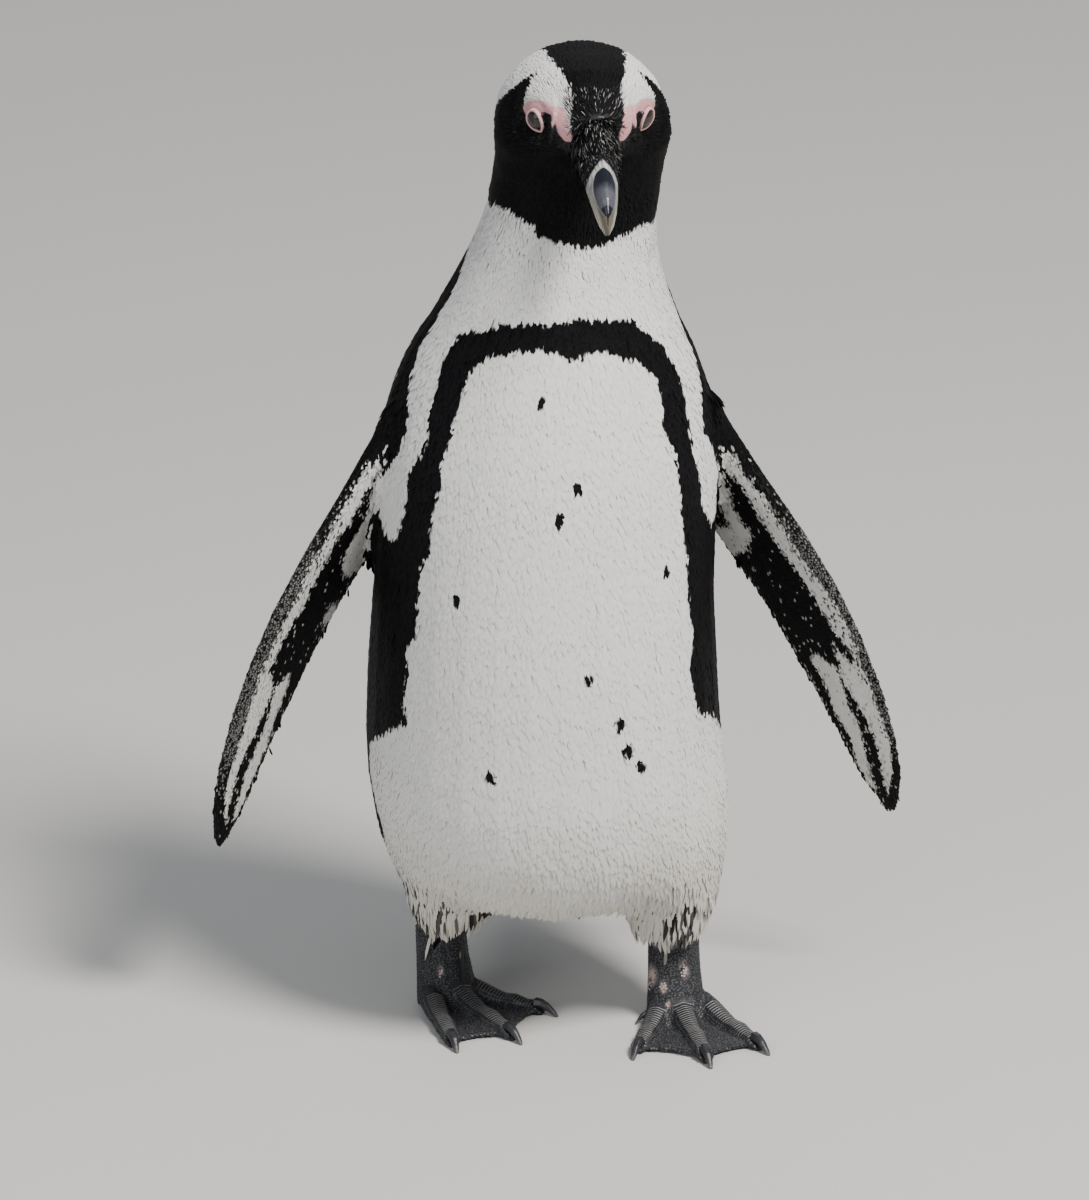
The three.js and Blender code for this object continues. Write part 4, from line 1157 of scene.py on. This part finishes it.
plumageLook = {
    "white": (0.74, 0.735, 0.72), "cream": (0.68, 0.67, 0.645), "down": (0.58, 0.575, 0.56),
    "soiled": (0.56, 0.525, 0.455), "black": (0.002, 0.002, 0.0026), "brown": (0.005, 0.0045, 0.0045),
    "tip": (0.014, 0.014, 0.018), "roughWhite": 0.85, "roughBlack": 0.6, "specular": 0.07,
}
barbTree = barbGroup()
featherTree = coatTree()
plainVane = vaneObject("plainVane", vaneLook["plain"])
scaleVane = vaneObject("scaleVane", vaneLook["scale"])
shaggyVane = vaneObject("shaggyVane", vaneLook["shaggy"])
pebble = pebbleObject("pebble")
templates = (plainVane, scaleVane, shaggyVane, pebble)
plumage = plumageMaterial("plumage", plumageLook)
bodyCoat = {"spacing": 1.18, "yaw": 5, "liftSpread": 0.6, "sizeSpread": 0.15, "sink": 0.2, "round": 0.22,
            "bend": 0.10, "crisp": 0.45}
neckCoat = {"spacing": 1.0, "yaw": 5, "liftSpread": 0.8, "sizeSpread": 0.18, "sink": 0.2, "round": 0.22,
            "bend": 0.10, "crisp": 0.6}
headCoat = {"spacing": 0.80, "yaw": 9, "liftSpread": 2.0, "sizeSpread": 0.2, "sink": 0.15, "round": 0.35,
            "bend": 0.2, "crisp": 0.6}
flipperCoat = {"spacing": 0.88, "yaw": 6, "liftSpread": 1.2, "sizeSpread": 0.12, "sink": 0.1, "round": 0.35,
               "bend": 0.25, "tips": 0.3}
thighCoat = {"spacing": 1.25, "yaw": 8, "liftSpread": 2.2, "sizeSpread": 0.25, "sink": 0.2, "round": 0.4,
             "bend": 0.1}

turn = bodyAngle(spots)
isBody = ~np.isin(kinds, [partKinds.index("flipper"), partKinds.index("tail"), partKinds.index("foot")])
isHead = isBody & (spots[:, 2] + 0.25 * (spots[:, 1] + 22) > 392)
isNeck = isBody & ~isHead & (spots[:, 2] > 345)
isTrunk = isBody & ~isHead & ~isNeck
isThigh = isTrunk & (spots[:, 2] < 84)
isTrunk = isTrunk & ~isThigh
grown = 0
for name, mask, slot in (
        ("breast_feathers", isTrunk & (np.abs(turn) < 90) & (spots[:, 2] > 215), "plumage_white"),
        ("belly_feathers", isTrunk & (np.abs(turn) < 90) & (spots[:, 2] <= 215), "plumage_white"),
        ("back_feathers", isTrunk & (np.abs(turn) >= 90) & (spots[:, 2] > 215), "plumage_black"),
        ("rump_feathers", isTrunk & (np.abs(turn) >= 90) & (spots[:, 2] <= 215), "plumage_black")):
    grown += 1
    coatPiece(name, skin.data, cover * mask, plainVane, bodyCoat, grown, plumage, featherTone)
coatPiece("thigh_feathers", skin.data, cover * isThigh, shaggyVane, thighCoat, 5, plumage,
          featherTone)
coatPiece("neck_feathers", skin.data, cover * isNeck, plainVane, neckCoat, 11, plumage,
          featherTone)
coatPiece("head_feathers", skin.data, cover * isHead, plainVane, headCoat, 12, plumage,
          featherTone)
for side, sign in (("left", 1), ("right", -1)):
    mask = (kinds == partKinds.index("flipper")) & (spots[:, 0] * sign > 0)
    coatPiece(side + "_flipper_feathers", skin.data, cover * mask, scaleVane, flipperCoat, 13 + sign, plumage,
              featherTone)
coatPiece("tail_feathers", skin.data, cover * (kinds == partKinds.index("tail")), plainVane, bodyCoat, 17,
          plumage, featherTone)


# eyes

eyeLook = {
    "pupil": 1.9, "iris": 4.1,  # radii along the eyeball, in millimetres
    "cornea": 0.35,  # how far the front stands out
}


def buildEye(name, side):
    middle, look, billward, upward = eyeAxes(side)
    rings, sectors = 40, 48
    places, faces, away = [middle - look * (bird["eyeRadius"] - 0.25)], [], [20.0]
    for k in range(rings):
        turn = math.radians(172) * (1 - k / rings) ** 1.15
        size = bird["eyeRadius"] - 0.25 + eyeLook["cornea"] * float(smooth(0.75, 0.25, turn))
        for i in range(sectors):
            a = 2 * math.pi * i / sectors
            out = look * math.cos(turn) + math.sin(turn) * (billward * math.cos(a) + upward * math.sin(a))
            places.append(middle + out * size)
            away.append(turn * bird["eyeRadius"])
    places.append(middle + look * (bird["eyeRadius"] - 0.25 + eyeLook["cornea"]))
    away.append(0.0)
    for i in range(sectors):
        j = (i + 1) % sectors
        faces.append((0, 1 + j, 1 + i))
        for k in range(rings - 1):
            a, b = 1 + k * sectors, 1 + (k + 1) * sectors
            faces.append((a + i, a + j, b + j, b + i))
        last = 1 + (rings - 1) * sectors
        faces.append((last + i, last + j, len(places) - 1))
    mesh = bpy.data.meshes.new(name)
    mesh.from_pydata(toShared(np.array(places)).tolist(), [], faces)
    work = bmesh.new()
    work.from_mesh(mesh)
    bmesh.ops.recalc_face_normals(work, faces=work.faces)
    work.to_mesh(mesh)
    work.free()
    store(mesh, "away", np.array(away))
    mesh.polygons.foreach_set("use_smooth", np.ones(len(mesh.polygons), bool))
    return addObject(name, mesh)


def eyeMaterial():
    made, tree, shader = newMaterial("eye")
    away = readValue(tree, "away")
    rays = noise(tree, 900.0, 2.0)
    iris = blend(tree, ramp(tree, away, eyeLook["pupil"], eyeLook["iris"]), (0.030, 0.022, 0.018),
                 (0.012, 0.009, 0.008))
    iris = blend(tree, mathNode(tree, "MULTIPLY", rays, 0.4), iris, (0.045, 0.037, 0.033))
    colour = blend(tree, ramp(tree, away, eyeLook["pupil"] - 0.15, eyeLook["pupil"] + 0.1),
                   (0.002, 0.002, 0.002), iris)
    colour = blend(tree, ramp(tree, away, eyeLook["iris"] - 0.3, eyeLook["iris"] + 0.2), colour,
                   (0.008, 0.007, 0.007))
    tree.links.new(colour, shader.inputs["Base Color"])
    shader.inputs["Roughness"].default_value = 0.12
    shader.inputs["Coat Weight"].default_value = 0.1
    shader.inputs["Specular IOR Level"].default_value = 0.4
    shader.inputs["Coat Roughness"].default_value = 0.04
    return made


eyeSurface = eyeMaterial()
for side, word in ((1, "left"), (-1, "right")):
    eye = buildEye("eyeball_" + word, side)
    eye.data.materials.append(eyeSurface)
    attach(eye, "root")
    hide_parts("eye_" + word)
print("eyes set")


# bill and claws, drawn finer over their parts

def finerCopy(name, parts, voxel, rounds):
    points, faces, count = [], [], 0
    for part in parts:
        p, f = weldedNode(part)
        points.append(p)
        faces.append(f + count)
        count += len(p)
    mesh = bpy.data.meshes.new(name)
    mesh.from_pydata(np.concatenate(points).tolist(), [], np.concatenate(faces).tolist())
    made = addObject(name, mesh)
    over = made.modifiers.new("drawOver", "REMESH")
    over.mode = "VOXEL"
    over.voxel_size = voxel
    baked(made)
    mesh = made.data
    writePoints(mesh, relax(readEdges(mesh), readPoints(mesh), np.ones(len(mesh.vertices)), rounds, 0.51))
    mesh.polygons.foreach_set("use_smooth", np.ones(len(mesh.polygons), bool))
    return made


billLook = {
    "voxel": 0.00036, "rounds": 14,
    "baseEnds": 20.7,  # where the wrinkled feathered base stops on the ridge
    # the dark nail, degrees down each side
    "plate": [(25.4, 0), (28, 34), (32, 54), (37, 66), (43, 70), (47, 64), (50, 48), (53, 20)],
    "bar": (32.5, 45.0),  # the pale bar across the nail
    "tip": (47, 57, 0.42),  # where the tip narrows, and by how much
}


def billShape(points, upper):
    # relief, in millimetres, and the places of the pale band and horn
    head = inHead(points)
    along, up, side = head[:, 0], head[:, 1], head[:, 2]
    down = np.degrees(np.arctan2(np.abs(side), np.maximum(up - 3.0, 0.3)))
    plate = np.array(billLook["plate"], float)
    inPlate = (np.interp(along, plate[:, 0], plate[:, 1]) - down) * 0.09
    inPlate = np.where(along > plate[0, 0], np.minimum(inPlate, (along - plate[0, 0]) * 0.8), -3)
    begins = along - billLook["baseEnds"] - 0.95 * np.abs(side)
    base = smooth(0.6, -1.5, begins)
    wave = np.sin(along * 3.1 + 1.4 * np.abs(side) + 1.6 * np.sin(side * 0.9))
    wrinkle = wave * 0.12 * base * smooth(-2, 3, along)
    relief = wrinkle
    if upper:
        relief = relief - 0.32 * np.exp(-(inPlate / 0.22) ** 2) * smooth(27, 30, along)
        groove = up - np.interp(along, [0, 12, 24, 34, 44], [7.2, 6.4, 5.2, 4.2, 3.0])
        relief = relief - 0.4 * np.exp(-(groove / 0.55) ** 2) * smooth(3, 7, along) * smooth(33, 26, along)
        nostril = np.hypot((along - 13.5) / 2.6, (up - 6.2) / 0.75)
        relief = relief - 0.8 * np.exp(-nostril ** 2)
    else:
        sideGroove = 0.3 * np.exp(-((up + 3.6 - 0.05 * along) / 0.6) ** 2)
        relief = relief - sideGroove * smooth(6, 12, along) * smooth(42, 34, along)
    return relief, inPlate, begins


def billPiece(name, part):
    made = finerCopy(name, [part], billLook["voxel"], billLook["rounds"])
    mesh = made.data
    spots = toBird(readPoints(mesh))
    relief, inPlate, begins = billShape(spots, part == "bill_upper")
    spots = spots + readNormals(mesh) * (relief - 0.02)[:, None]
    head = inHead(spots)
    starts, ends, narrower = billLook["tip"]
    head[:, 2] *= 1 - narrower * smooth(starts, ends, head[:, 0])
    spots = fromHead(head)
    writePoints(mesh, toShared(spots))
    store(mesh, "plate", inPlate if part == "bill_upper" else np.full(len(spots), -3.0))
    store(mesh, "begins", begins)
    store(mesh, "along", head[:, 0])
    # share of the local half width, so that the cutting edges stay pale
    rows = np.clip(np.round(head[:, 0]).astype(int) + 20, 0, 99)
    widest = np.full(100, 0.5)
    np.maximum.at(widest, rows, np.abs(head[:, 2]))
    store(mesh, "rim", np.abs(head[:, 2]) / widest[rows] if part == "bill_upper" else np.ones(len(spots)))
    return made


def billMaterial(name, look):
    made, tree, shader = newMaterial(name)
    plate, begins, along = (readValue(tree, word) for word in ("plate", "begins", "along"))
    grain = noise(tree, 420.0, 4.0)
    long = tree.nodes.new("ShaderNodeTexCoord").outputs["Object"]
    stretched = linked(tree, "ShaderNodeMapping", Vector=long, Scale=(900.0, 90.0, 160.0)).outputs[0]
    fibre = noise(tree, 1.0, 3.0, 0.6, stretched)
    patch = noise(tree, 260.0, 3.0)
    side = blend(tree, fibre, look["side"], look["sideDark"])
    line = mathNode(tree, "MULTIPLY", ramp(tree, begins, 6.0, 2.6), ramp(tree, begins, -0.8, 0.8))
    line = mathNode(tree, "MAXIMUM", line, mathNode(tree, "MULTIPLY", ramp(tree, plate, -1.4, -0.4), 0.4))
    line = mathNode(tree, "MULTIPLY", line,
                    mathNode(tree, "ADD", 0.4, mathNode(tree, "MULTIPLY", ramp(tree, fibre, 0.36, 0.6), 0.6)))
    line = mathNode(tree, "MULTIPLY", line,
                    mathNode(tree, "ADD", 0.65, mathNode(tree, "MULTIPLY", patch, 0.6)))
    side = blend(tree, line, side, look["pale"])
    rim = ramp(tree, readValue(tree, "rim"), 0.74, 0.93)
    horn = blend(tree, rim, look["horn"], look["cream"])
    horn = blend(tree, mathNode(tree, "MULTIPLY", fibre, 0.5), horn, look["mauve"])
    side = blend(tree, ramp(tree, along, 38.0, 50.0), side, horn)
    side = blend(tree, mathNode(tree, "MULTIPLY", ramp(tree, along, 26.0, 34.0),
                                mathNode(tree, "MULTIPLY", rim, 0.5)),
                 side, look["cream"])
    nail = blend(tree, fibre, look["nail"], look["nailLight"])
    starts, ends = look["bar"]
    bar = mathNode(tree, "MULTIPLY", ramp(tree, along, starts, starts + 6.0),
                   ramp(tree, along, ends, ends - 0.8))
    bar = mathNode(tree, "MULTIPLY", bar, mathNode(tree, "ADD", 0.25, mathNode(tree, "MULTIPLY", patch, 0.9)))
    nail = blend(tree, bar, nail, look["barColour"])
    nail = blend(tree, ramp(tree, along, 49.0, 52.5), nail, look["horn"])
    colour = blend(tree, ramp(tree, plate, -0.15, 0.15), side, nail)
    base = blend(tree, grain, look["base"], look["baseLight"])
    colour = blend(tree, ramp(tree, begins, 0.4, -0.9), colour, base)
    tree.links.new(colour, shader.inputs["Base Color"])
    isBase = ramp(tree, begins, 0.5, -1.5)
    tree.links.new(mathNode(tree, "SUBTRACT", 0.5, mathNode(tree, "MULTIPLY", isBase, 0.38)),
                   shader.inputs["Specular IOR Level"])
    rough = mathNode(tree, "ADD", look["rough"], mathNode(tree, "MULTIPLY", isBase, 0.4))
    rough = mathNode(tree, "ADD", rough, mathNode(tree, "MULTIPLY", grain, 0.12))
    tree.links.new(rough, shader.inputs["Roughness"])
    raised = linked(tree, "ShaderNodeBump", Height=fibre, Strength=0.5, Distance=0.0002)
    tree.links.new(raised.outputs[0], shader.inputs["Normal"])
    return made


hornLook = {
    "side": (0.13, 0.125, 0.12), "sideDark": (0.035, 0.036, 0.040), "pale": (0.50, 0.50, 0.48),
    "horn": (0.105, 0.088, 0.048), "cream": (0.42, 0.40, 0.32), "mauve": (0.13, 0.115, 0.115),
    "nail": (0.001, 0.0015, 0.005), "nailLight": (0.006, 0.009, 0.018), "barColour": (0.10, 0.10, 0.12),
    "base": (0.004, 0.004, 0.005), "baseLight": (0.014, 0.014, 0.016), "rough": 0.22, "bar": billLook["bar"],
}
billSurface = billMaterial("bill", hornLook)
halves = []
for name, part in (("upper_bill", "bill_upper"), ("lower_bill", "bill_lower")):
    half = billPiece(name, part)
    half.data.materials.append(billSurface)
    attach(half, "root")
    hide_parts(part)
    halves.append(half)
print("bill cut")


# thin hair-like feathers over the bill's base, and the flecked brow

wispLook = {"spacing": 0.7, "yaw": 15, "liftSpread": 7, "sizeSpread": 0.35, "sink": 0.1, "round": 0.4,
            "bend": 0.2, "shows": 0.7}


def wispTone(roots, shown, kind, chance):
    return np.where((chance * 5.1) % 1 < 0.3, -0.03 + 0.4 * ((chance * 13.7) % 1), 1.0)


def growWisps(name, half, seed):
    mesh = half.data
    spots = toBird(readPoints(mesh))
    head = inHead(spots)
    normals = readNormals(mesh)
    tip = fromHead((1, 0.02, 0))[0] - headPlace
    store(mesh, "lie", laidOn(np.tile(tip, (len(spots), 1)), normals))
    near = smooth(20, -1, head[:, 0] - 0.3 * np.abs(head[:, 2]))
    size = 2.4 + 3.0 * near
    store(mesh, "size", np.stack((0.26 + 0.14 * near, size, size), 1) / 1000)
    store(mesh, "lift", np.radians(2 + 5 * near))
    store(mesh, "kind", np.zeros(len(spots)))
    reach = smooth(17, 4, head[:, 0] - 0.5 * np.abs(head[:, 2])) ** 1.5
    if name.startswith("upper"):
        reach = smooth(22.5, 16, head[:, 0] - 0.85 * np.abs(head[:, 2]))
    made = coatPiece(name, mesh, reach * (head[:, 0] > -3.5), shaggyVane, wispLook, seed, plumage,
                     wispTone)
    for word in ("lie", "size", "lift", "kind"):
        mesh.attributes.remove(mesh.attributes[word])
    return made


for name, half, seed in (("upper_bill_wisps", halves[0], 31), ("lower_bill_wisps", halves[1], 32)):
    growWisps(name, half, seed)

browLook = {"spacing": 0.75, "yaw": 18, "liftSpread": 6, "sizeSpread": 0.3, "sink": 0.0, "round": 0.4,
            "bend": 0.2, "shows": 0.7}


def browTone(roots, shown, kind, chance):
    # thickest in a band across the forehead
    band = np.exp(-((inHead(roots)[:, 0] + 12.5) / 2.6) ** 2)
    return np.where((chance * 5.1) % 1 < 0.10 + 0.42 * band, 0.4 * ((chance * 13.7) % 1), 1.0)


brow = skin.data.copy()
store(brow, "size", np.tile((0.00032, 0.0030, 0.0030), (len(spots), 1)))
store(brow, "lift", np.full(len(spots), math.radians(9)))
onBrow = smooth(-18.5, -13, billFrom[:, 0]) * (billFrom[:, 0] < 3)
onBrow = onBrow * (np.abs(billFrom[:, 2]) < 12) * (billFrom[:, 1] > 6)
coatPiece("brow_wisps", brow, cover * onBrow, shaggyVane, browLook, 33, plumage, browTone)
bpy.data.meshes.remove(brow)


def clawMaterial():
    made, tree, shader = newMaterial("claw")
    grain = noise(tree, 300.0, 4.0)
    place = tree.nodes.new("ShaderNodeTexCoord").outputs["Object"]
    low = linked(tree, "ShaderNodeSeparateXYZ", Vector=place).outputs["Z"]
    colour = blend(tree, grain, (0.007, 0.008, 0.012), (0.030, 0.030, 0.034))
    colour = blend(tree, mathNode(tree, "MULTIPLY", ramp(tree, low, 0.0035, 0.0005), 0.6), colour,
                   (0.12, 0.11, 0.10))
    tree.links.new(colour, shader.inputs["Base Color"])
    tree.links.new(mathNode(tree, "ADD", 0.26, mathNode(tree, "MULTIPLY", grain, 0.25)),
                   shader.inputs["Roughness"])
    raised = linked(tree, "ShaderNodeBump", Height=grain, Strength=0.4, Distance=0.0003)
    tree.links.new(raised.outputs[0], shader.inputs["Normal"])
    return made


clawNodes = [name for name in nodes if name.startswith("claw_")]
claws = finerCopy("claws", clawNodes, 0.0004, 6)
claws.data.materials.append(clawMaterial())
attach(claws, "root")
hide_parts(*clawNodes)
print("claws shaped:", len(claws.data.vertices), "points")


# scutes over the toes, and the pebbled hide of the webs and shanks

footLook = {
    # where each shank stands, and its turn outwards
    "feet": {"left": ((56, 31), 6), "right": ((-47, -2), -26)},
    "ball": (9, 8.5),
    "toes": [(-1.1, -31, 37, 4.9), (0, 0, 50, 5.4), (1.45, 20, 44, 5.2)],  # lane, turn, length, half width
    "widths": [(-0.1, 1.15), (0.12, 1.15), (0.32, 1.05), (0.46, 0.9), (0.6, 1), (0.76, 0.82), (0.9, 0.86),
               (1, 0.5)],
    "pitch": 1.45, "rise": 0.34,
}


def toeLines():
    # start, heading and sideways of each front toe, with its length and half width
    for (x, ahead), turn in footLook["feet"].values():
        out = math.copysign(1, x)

        def heading(angle):
            whole = math.radians(turn + angle)
            return np.array((out * math.sin(whole), -math.cos(whole), 0))

        ball = np.array((x, -ahead, 0)) + heading(0) * footLook["ball"][0]
        for lane, angle, length, half in footLook["toes"]:
            start = ball + heading(90) * lane * footLook["ball"][1]
            along = heading(angle)
            yield start, along, np.array((-along[1], along[0], 0)), length, half


def buildScutes():
    tree = BVHTree.FromPolygons(toBird(readPoints(skin.data)).tolist(),
                                [tuple(f.vertices) for f in skin.data.polygons])
    widths = np.array(footLook["widths"])
    points, faces, lips = [], [], []
    across = np.linspace(-1, 1, 9)
    profile = [(0.0, -0.25, 0), (0.6, 0.7, 0), (1.0, 1.0, 0.25), (1.25, 0.45, 1), (1.2, -0.5, 0),
               (0.1, -0.9, 0)]

    def onTop(place):
        hit = tree.ray_cast(Vector((place[0], place[1], 40)), Vector((0, 0, -1)))[0]
        return hit.z if hit else 0.5

    for start, along, sideways, length, half in toeLines():
        for s in np.arange(length * 0.10, length * 0.90, footLook["pitch"]):
            wide = half * np.interp(s / length, widths[:, 0], widths[:, 1]) * 0.86
            first = len(points)
            for k, t in enumerate(across):
                ends = 1 - 0.55 * abs(t) ** 4
                for step, lift, lip in profile:
                    reach = s + step * footLook["pitch"] - 0.5 * t * t
                    place = start + along * reach + sideways * (t * wide)
                    place[2] = onTop(place) + lift * footLook["rise"] * ends
                    points.append(place)
                    lips.append(lip)
            n = len(profile)
            for k in range(len(across) - 1):
                for j in range(n):
                    a, b = first + k * n + j, first + k * n + (j + 1) % n
                    faces.append((a, b, b + n, a + n))
            faces.append(tuple(first + j for j in reversed(range(n))))
            faces.append(tuple(first + (len(across) - 1) * n + j for j in range(n)))
    mesh = bpy.data.meshes.new("toe_scutes")
    mesh.from_pydata(toShared(np.array(points)).tolist(), [], faces)
    work = bmesh.new()
    work.from_mesh(mesh)
    bmesh.ops.recalc_face_normals(work, faces=work.faces)
    work.to_mesh(mesh)
    work.free()
    store(mesh, "lip", np.array(lips, float))
    return addObject("toe_scutes", mesh)


def scuteMaterial():
    made, tree, shader = newMaterial("scute")
    fine = noise(tree, 600.0, 4.0)
    lip = mathNode(tree, "MULTIPLY", ramp(tree, readValue(tree, "lip"), 0.45, 0.9),
                   mathNode(tree, "ADD", 0.25, fine))
    colour = blend(tree, lip, (0.007, 0.008, 0.010), (0.32, 0.31, 0.30))
    colour = blend(tree, mathNode(tree, "MULTIPLY", fine, 0.3), colour, (0.05, 0.05, 0.055))
    tree.links.new(colour, shader.inputs["Base Color"])
    tree.links.new(mathNode(tree, "ADD", 0.38, mathNode(tree, "MULTIPLY", fine, 0.2)),
                   shader.inputs["Roughness"])
    raised = linked(tree, "ShaderNodeBump", Height=fine, Strength=0.4, Distance=0.0002)
    tree.links.new(raised.outputs[0], shader.inputs["Normal"])
    return made


def pebbleMaterial():
    made, tree, shader = newMaterial("pebbledHide")
    shade = readValue(tree, "shade")
    vane = tree.nodes.new("ShaderNodeAttribute")
    vane.attribute_name = "vane"
    split = linked(tree, "ShaderNodeSeparateXYZ", Vector=vane.outputs["Vector"])
    fromMiddle = linked(tree, "ShaderNodeCombineXYZ", X=split.outputs["X"],
                        Y=mathNode(tree, "SUBTRACT", split.outputs["Y"], 0.5))
    away = linked(tree, "ShaderNodeVectorMath", {"operation": "LENGTH"},
                  Vector=fromMiddle.outputs[0]).outputs["Value"]
    top = blend(tree, shade, (0.025, 0.026, 0.030), (0.085, 0.085, 0.090))
    # painted shade: each pebble is darker towards its low edge than on its top
    colour = blend(tree, ramp(tree, away, 0.15, 0.45), top, (0.013, 0.014, 0.017))
    worn = ramp(tree, readValue(tree, "dark"), 0.25, 0.6)
    colour = blend(tree, worn, colour, bareLook["blotch"])
    tree.links.new(colour, shader.inputs["Base Color"])
    tree.links.new(mathNode(tree, "ADD", 0.42, mathNode(tree, "MULTIPLY", shade, 0.2)),
                   shader.inputs["Roughness"])
    return made


def pebbleTone(roots, shown, kind, chance):
    return blotchAmount(roots) * (0.55 + 0.6 * chance)


scutes = buildScutes()
scutes.data.materials.append(scuteMaterial())
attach(scutes, "root")
print("scutes laid:", len(scutes.data.polygons), "faces")

hideLook = {"spacing": 1.02, "yaw": 40, "liftSpread": 0, "sizeSpread": 0.2, "sink": 0.02, "round": 0.5,
            "bend": 0.5, "shows": 0}
onToe = np.zeros(len(spots))
for start, along, sideways, length, half in toeLines():
    off = spots - start
    reach, wide = off @ along, np.abs(off @ sideways)
    within = (reach > length * 0.1) & (reach < length * 0.95) & (wide < half * 0.8)
    onToe = np.maximum(onToe, within.astype(float))
soleFree = smooth(1.2, 2.2, spots[:, 2]) * smooth(-0.5, 0.0, normals[:, 2])
store(skin.data, "size", np.tile((0.00125, 0.00125, 0.00125), (len(spots), 1)))
store(skin.data, "lift", np.zeros(len(spots)))
coatPiece("pebbled_hide", skin.data, bareFoot * soleFree * (1 - onToe), pebble, hideLook, 41,
          pebbleMaterial(), pebbleTone)
for word in ("lie", "size", "lift", "cover", "kind"):
    layer = skin.data.attributes.get(word)
    if layer:
        skin.data.attributes.remove(layer)

for spare in templates:
    bpy.data.objects.remove(spare)


# floor, light and camera

def plainMaterial(name, colour, rough):
    made = bpy.data.materials.new(name)
    made.use_nodes = True
    shader = made.node_tree.nodes["Principled BSDF"]
    shader.inputs["Base Color"].default_value = (*colour, 1)
    shader.inputs["Roughness"].default_value = rough
    return made


def buildFloor():
    half = 6.0
    mesh = bpy.data.meshes.new("floor")
    mesh.from_pydata([(-half, -half, 0), (half, -half, 0), (half, half, 0), (-half, half, 0)], [],
                     [(0, 1, 2, 3)])
    made = addObject("floor", mesh)
    mesh.materials.append(plainMaterial("paleFloor", (0.56, 0.55, 0.53), 0.9))


lightLook = {
    "key": {"place": (1.1, -1.5, 2.6), "size": 0.9, "watts": 150, "colour": (1.0, 0.97, 0.93)},
    "fill": {"place": (-2.0, -1.8, 1.5), "size": 2.2, "watts": 24, "colour": (0.93, 0.96, 1.0)},
    "rim": {"place": (0.4, 2.2, 2.2), "size": 1.6, "watts": 9, "colour": (1.0, 0.99, 0.97)},
    "sky": ((0.86, 0.90, 0.96), 0.38),
}


def buildLights():
    aim = Vector((0, 0, 0.22))
    for name in ("key", "fill", "rim"):
        look = lightLook[name]
        data = bpy.data.lights.new(name, "AREA")
        data.shape = "DISK"
        data.size = look["size"]
        data.energy = look["watts"]
        data.color = look["colour"]
        made = addObject(name, data)
        made.location = look["place"]
        made.rotation_mode = "QUATERNION"
        made.rotation_quaternion = (aim - made.location).to_track_quat("-Z", "Y")
    world = bpy.data.worlds.new("sky")
    world.use_nodes = True
    colour, strength = lightLook["sky"]
    world.node_tree.nodes["Background"].inputs["Color"].default_value = (*colour, 1)
    world.node_tree.nodes["Background"].inputs["Strength"].default_value = strength
    scene.world = world


cameraLook = {"aim": (-0.004763, 0.002652, 0.195), "distance": 3.6, "around": -8, "above": 20, "lens": 237.36}


def buildCamera():
    a, e = math.radians(cameraLook["around"]), math.radians(cameraLook["above"])
    back = Vector((math.sin(a) * math.cos(e), -math.cos(a) * math.cos(e), math.sin(e)))
    data = bpy.data.cameras.new("camera")
    data.lens = cameraLook["lens"]
    data.sensor_width = 36
    data.clip_start = 0.1
    made = addObject("camera", data)
    made.location = Vector(cameraLook["aim"]) + back * cameraLook["distance"]
    made.rotation_mode = "QUATERNION"
    made.rotation_quaternion = (-back).to_track_quat("-Z", "Y")
    scene.camera = made


buildFloor()
buildLights()
buildCamera()
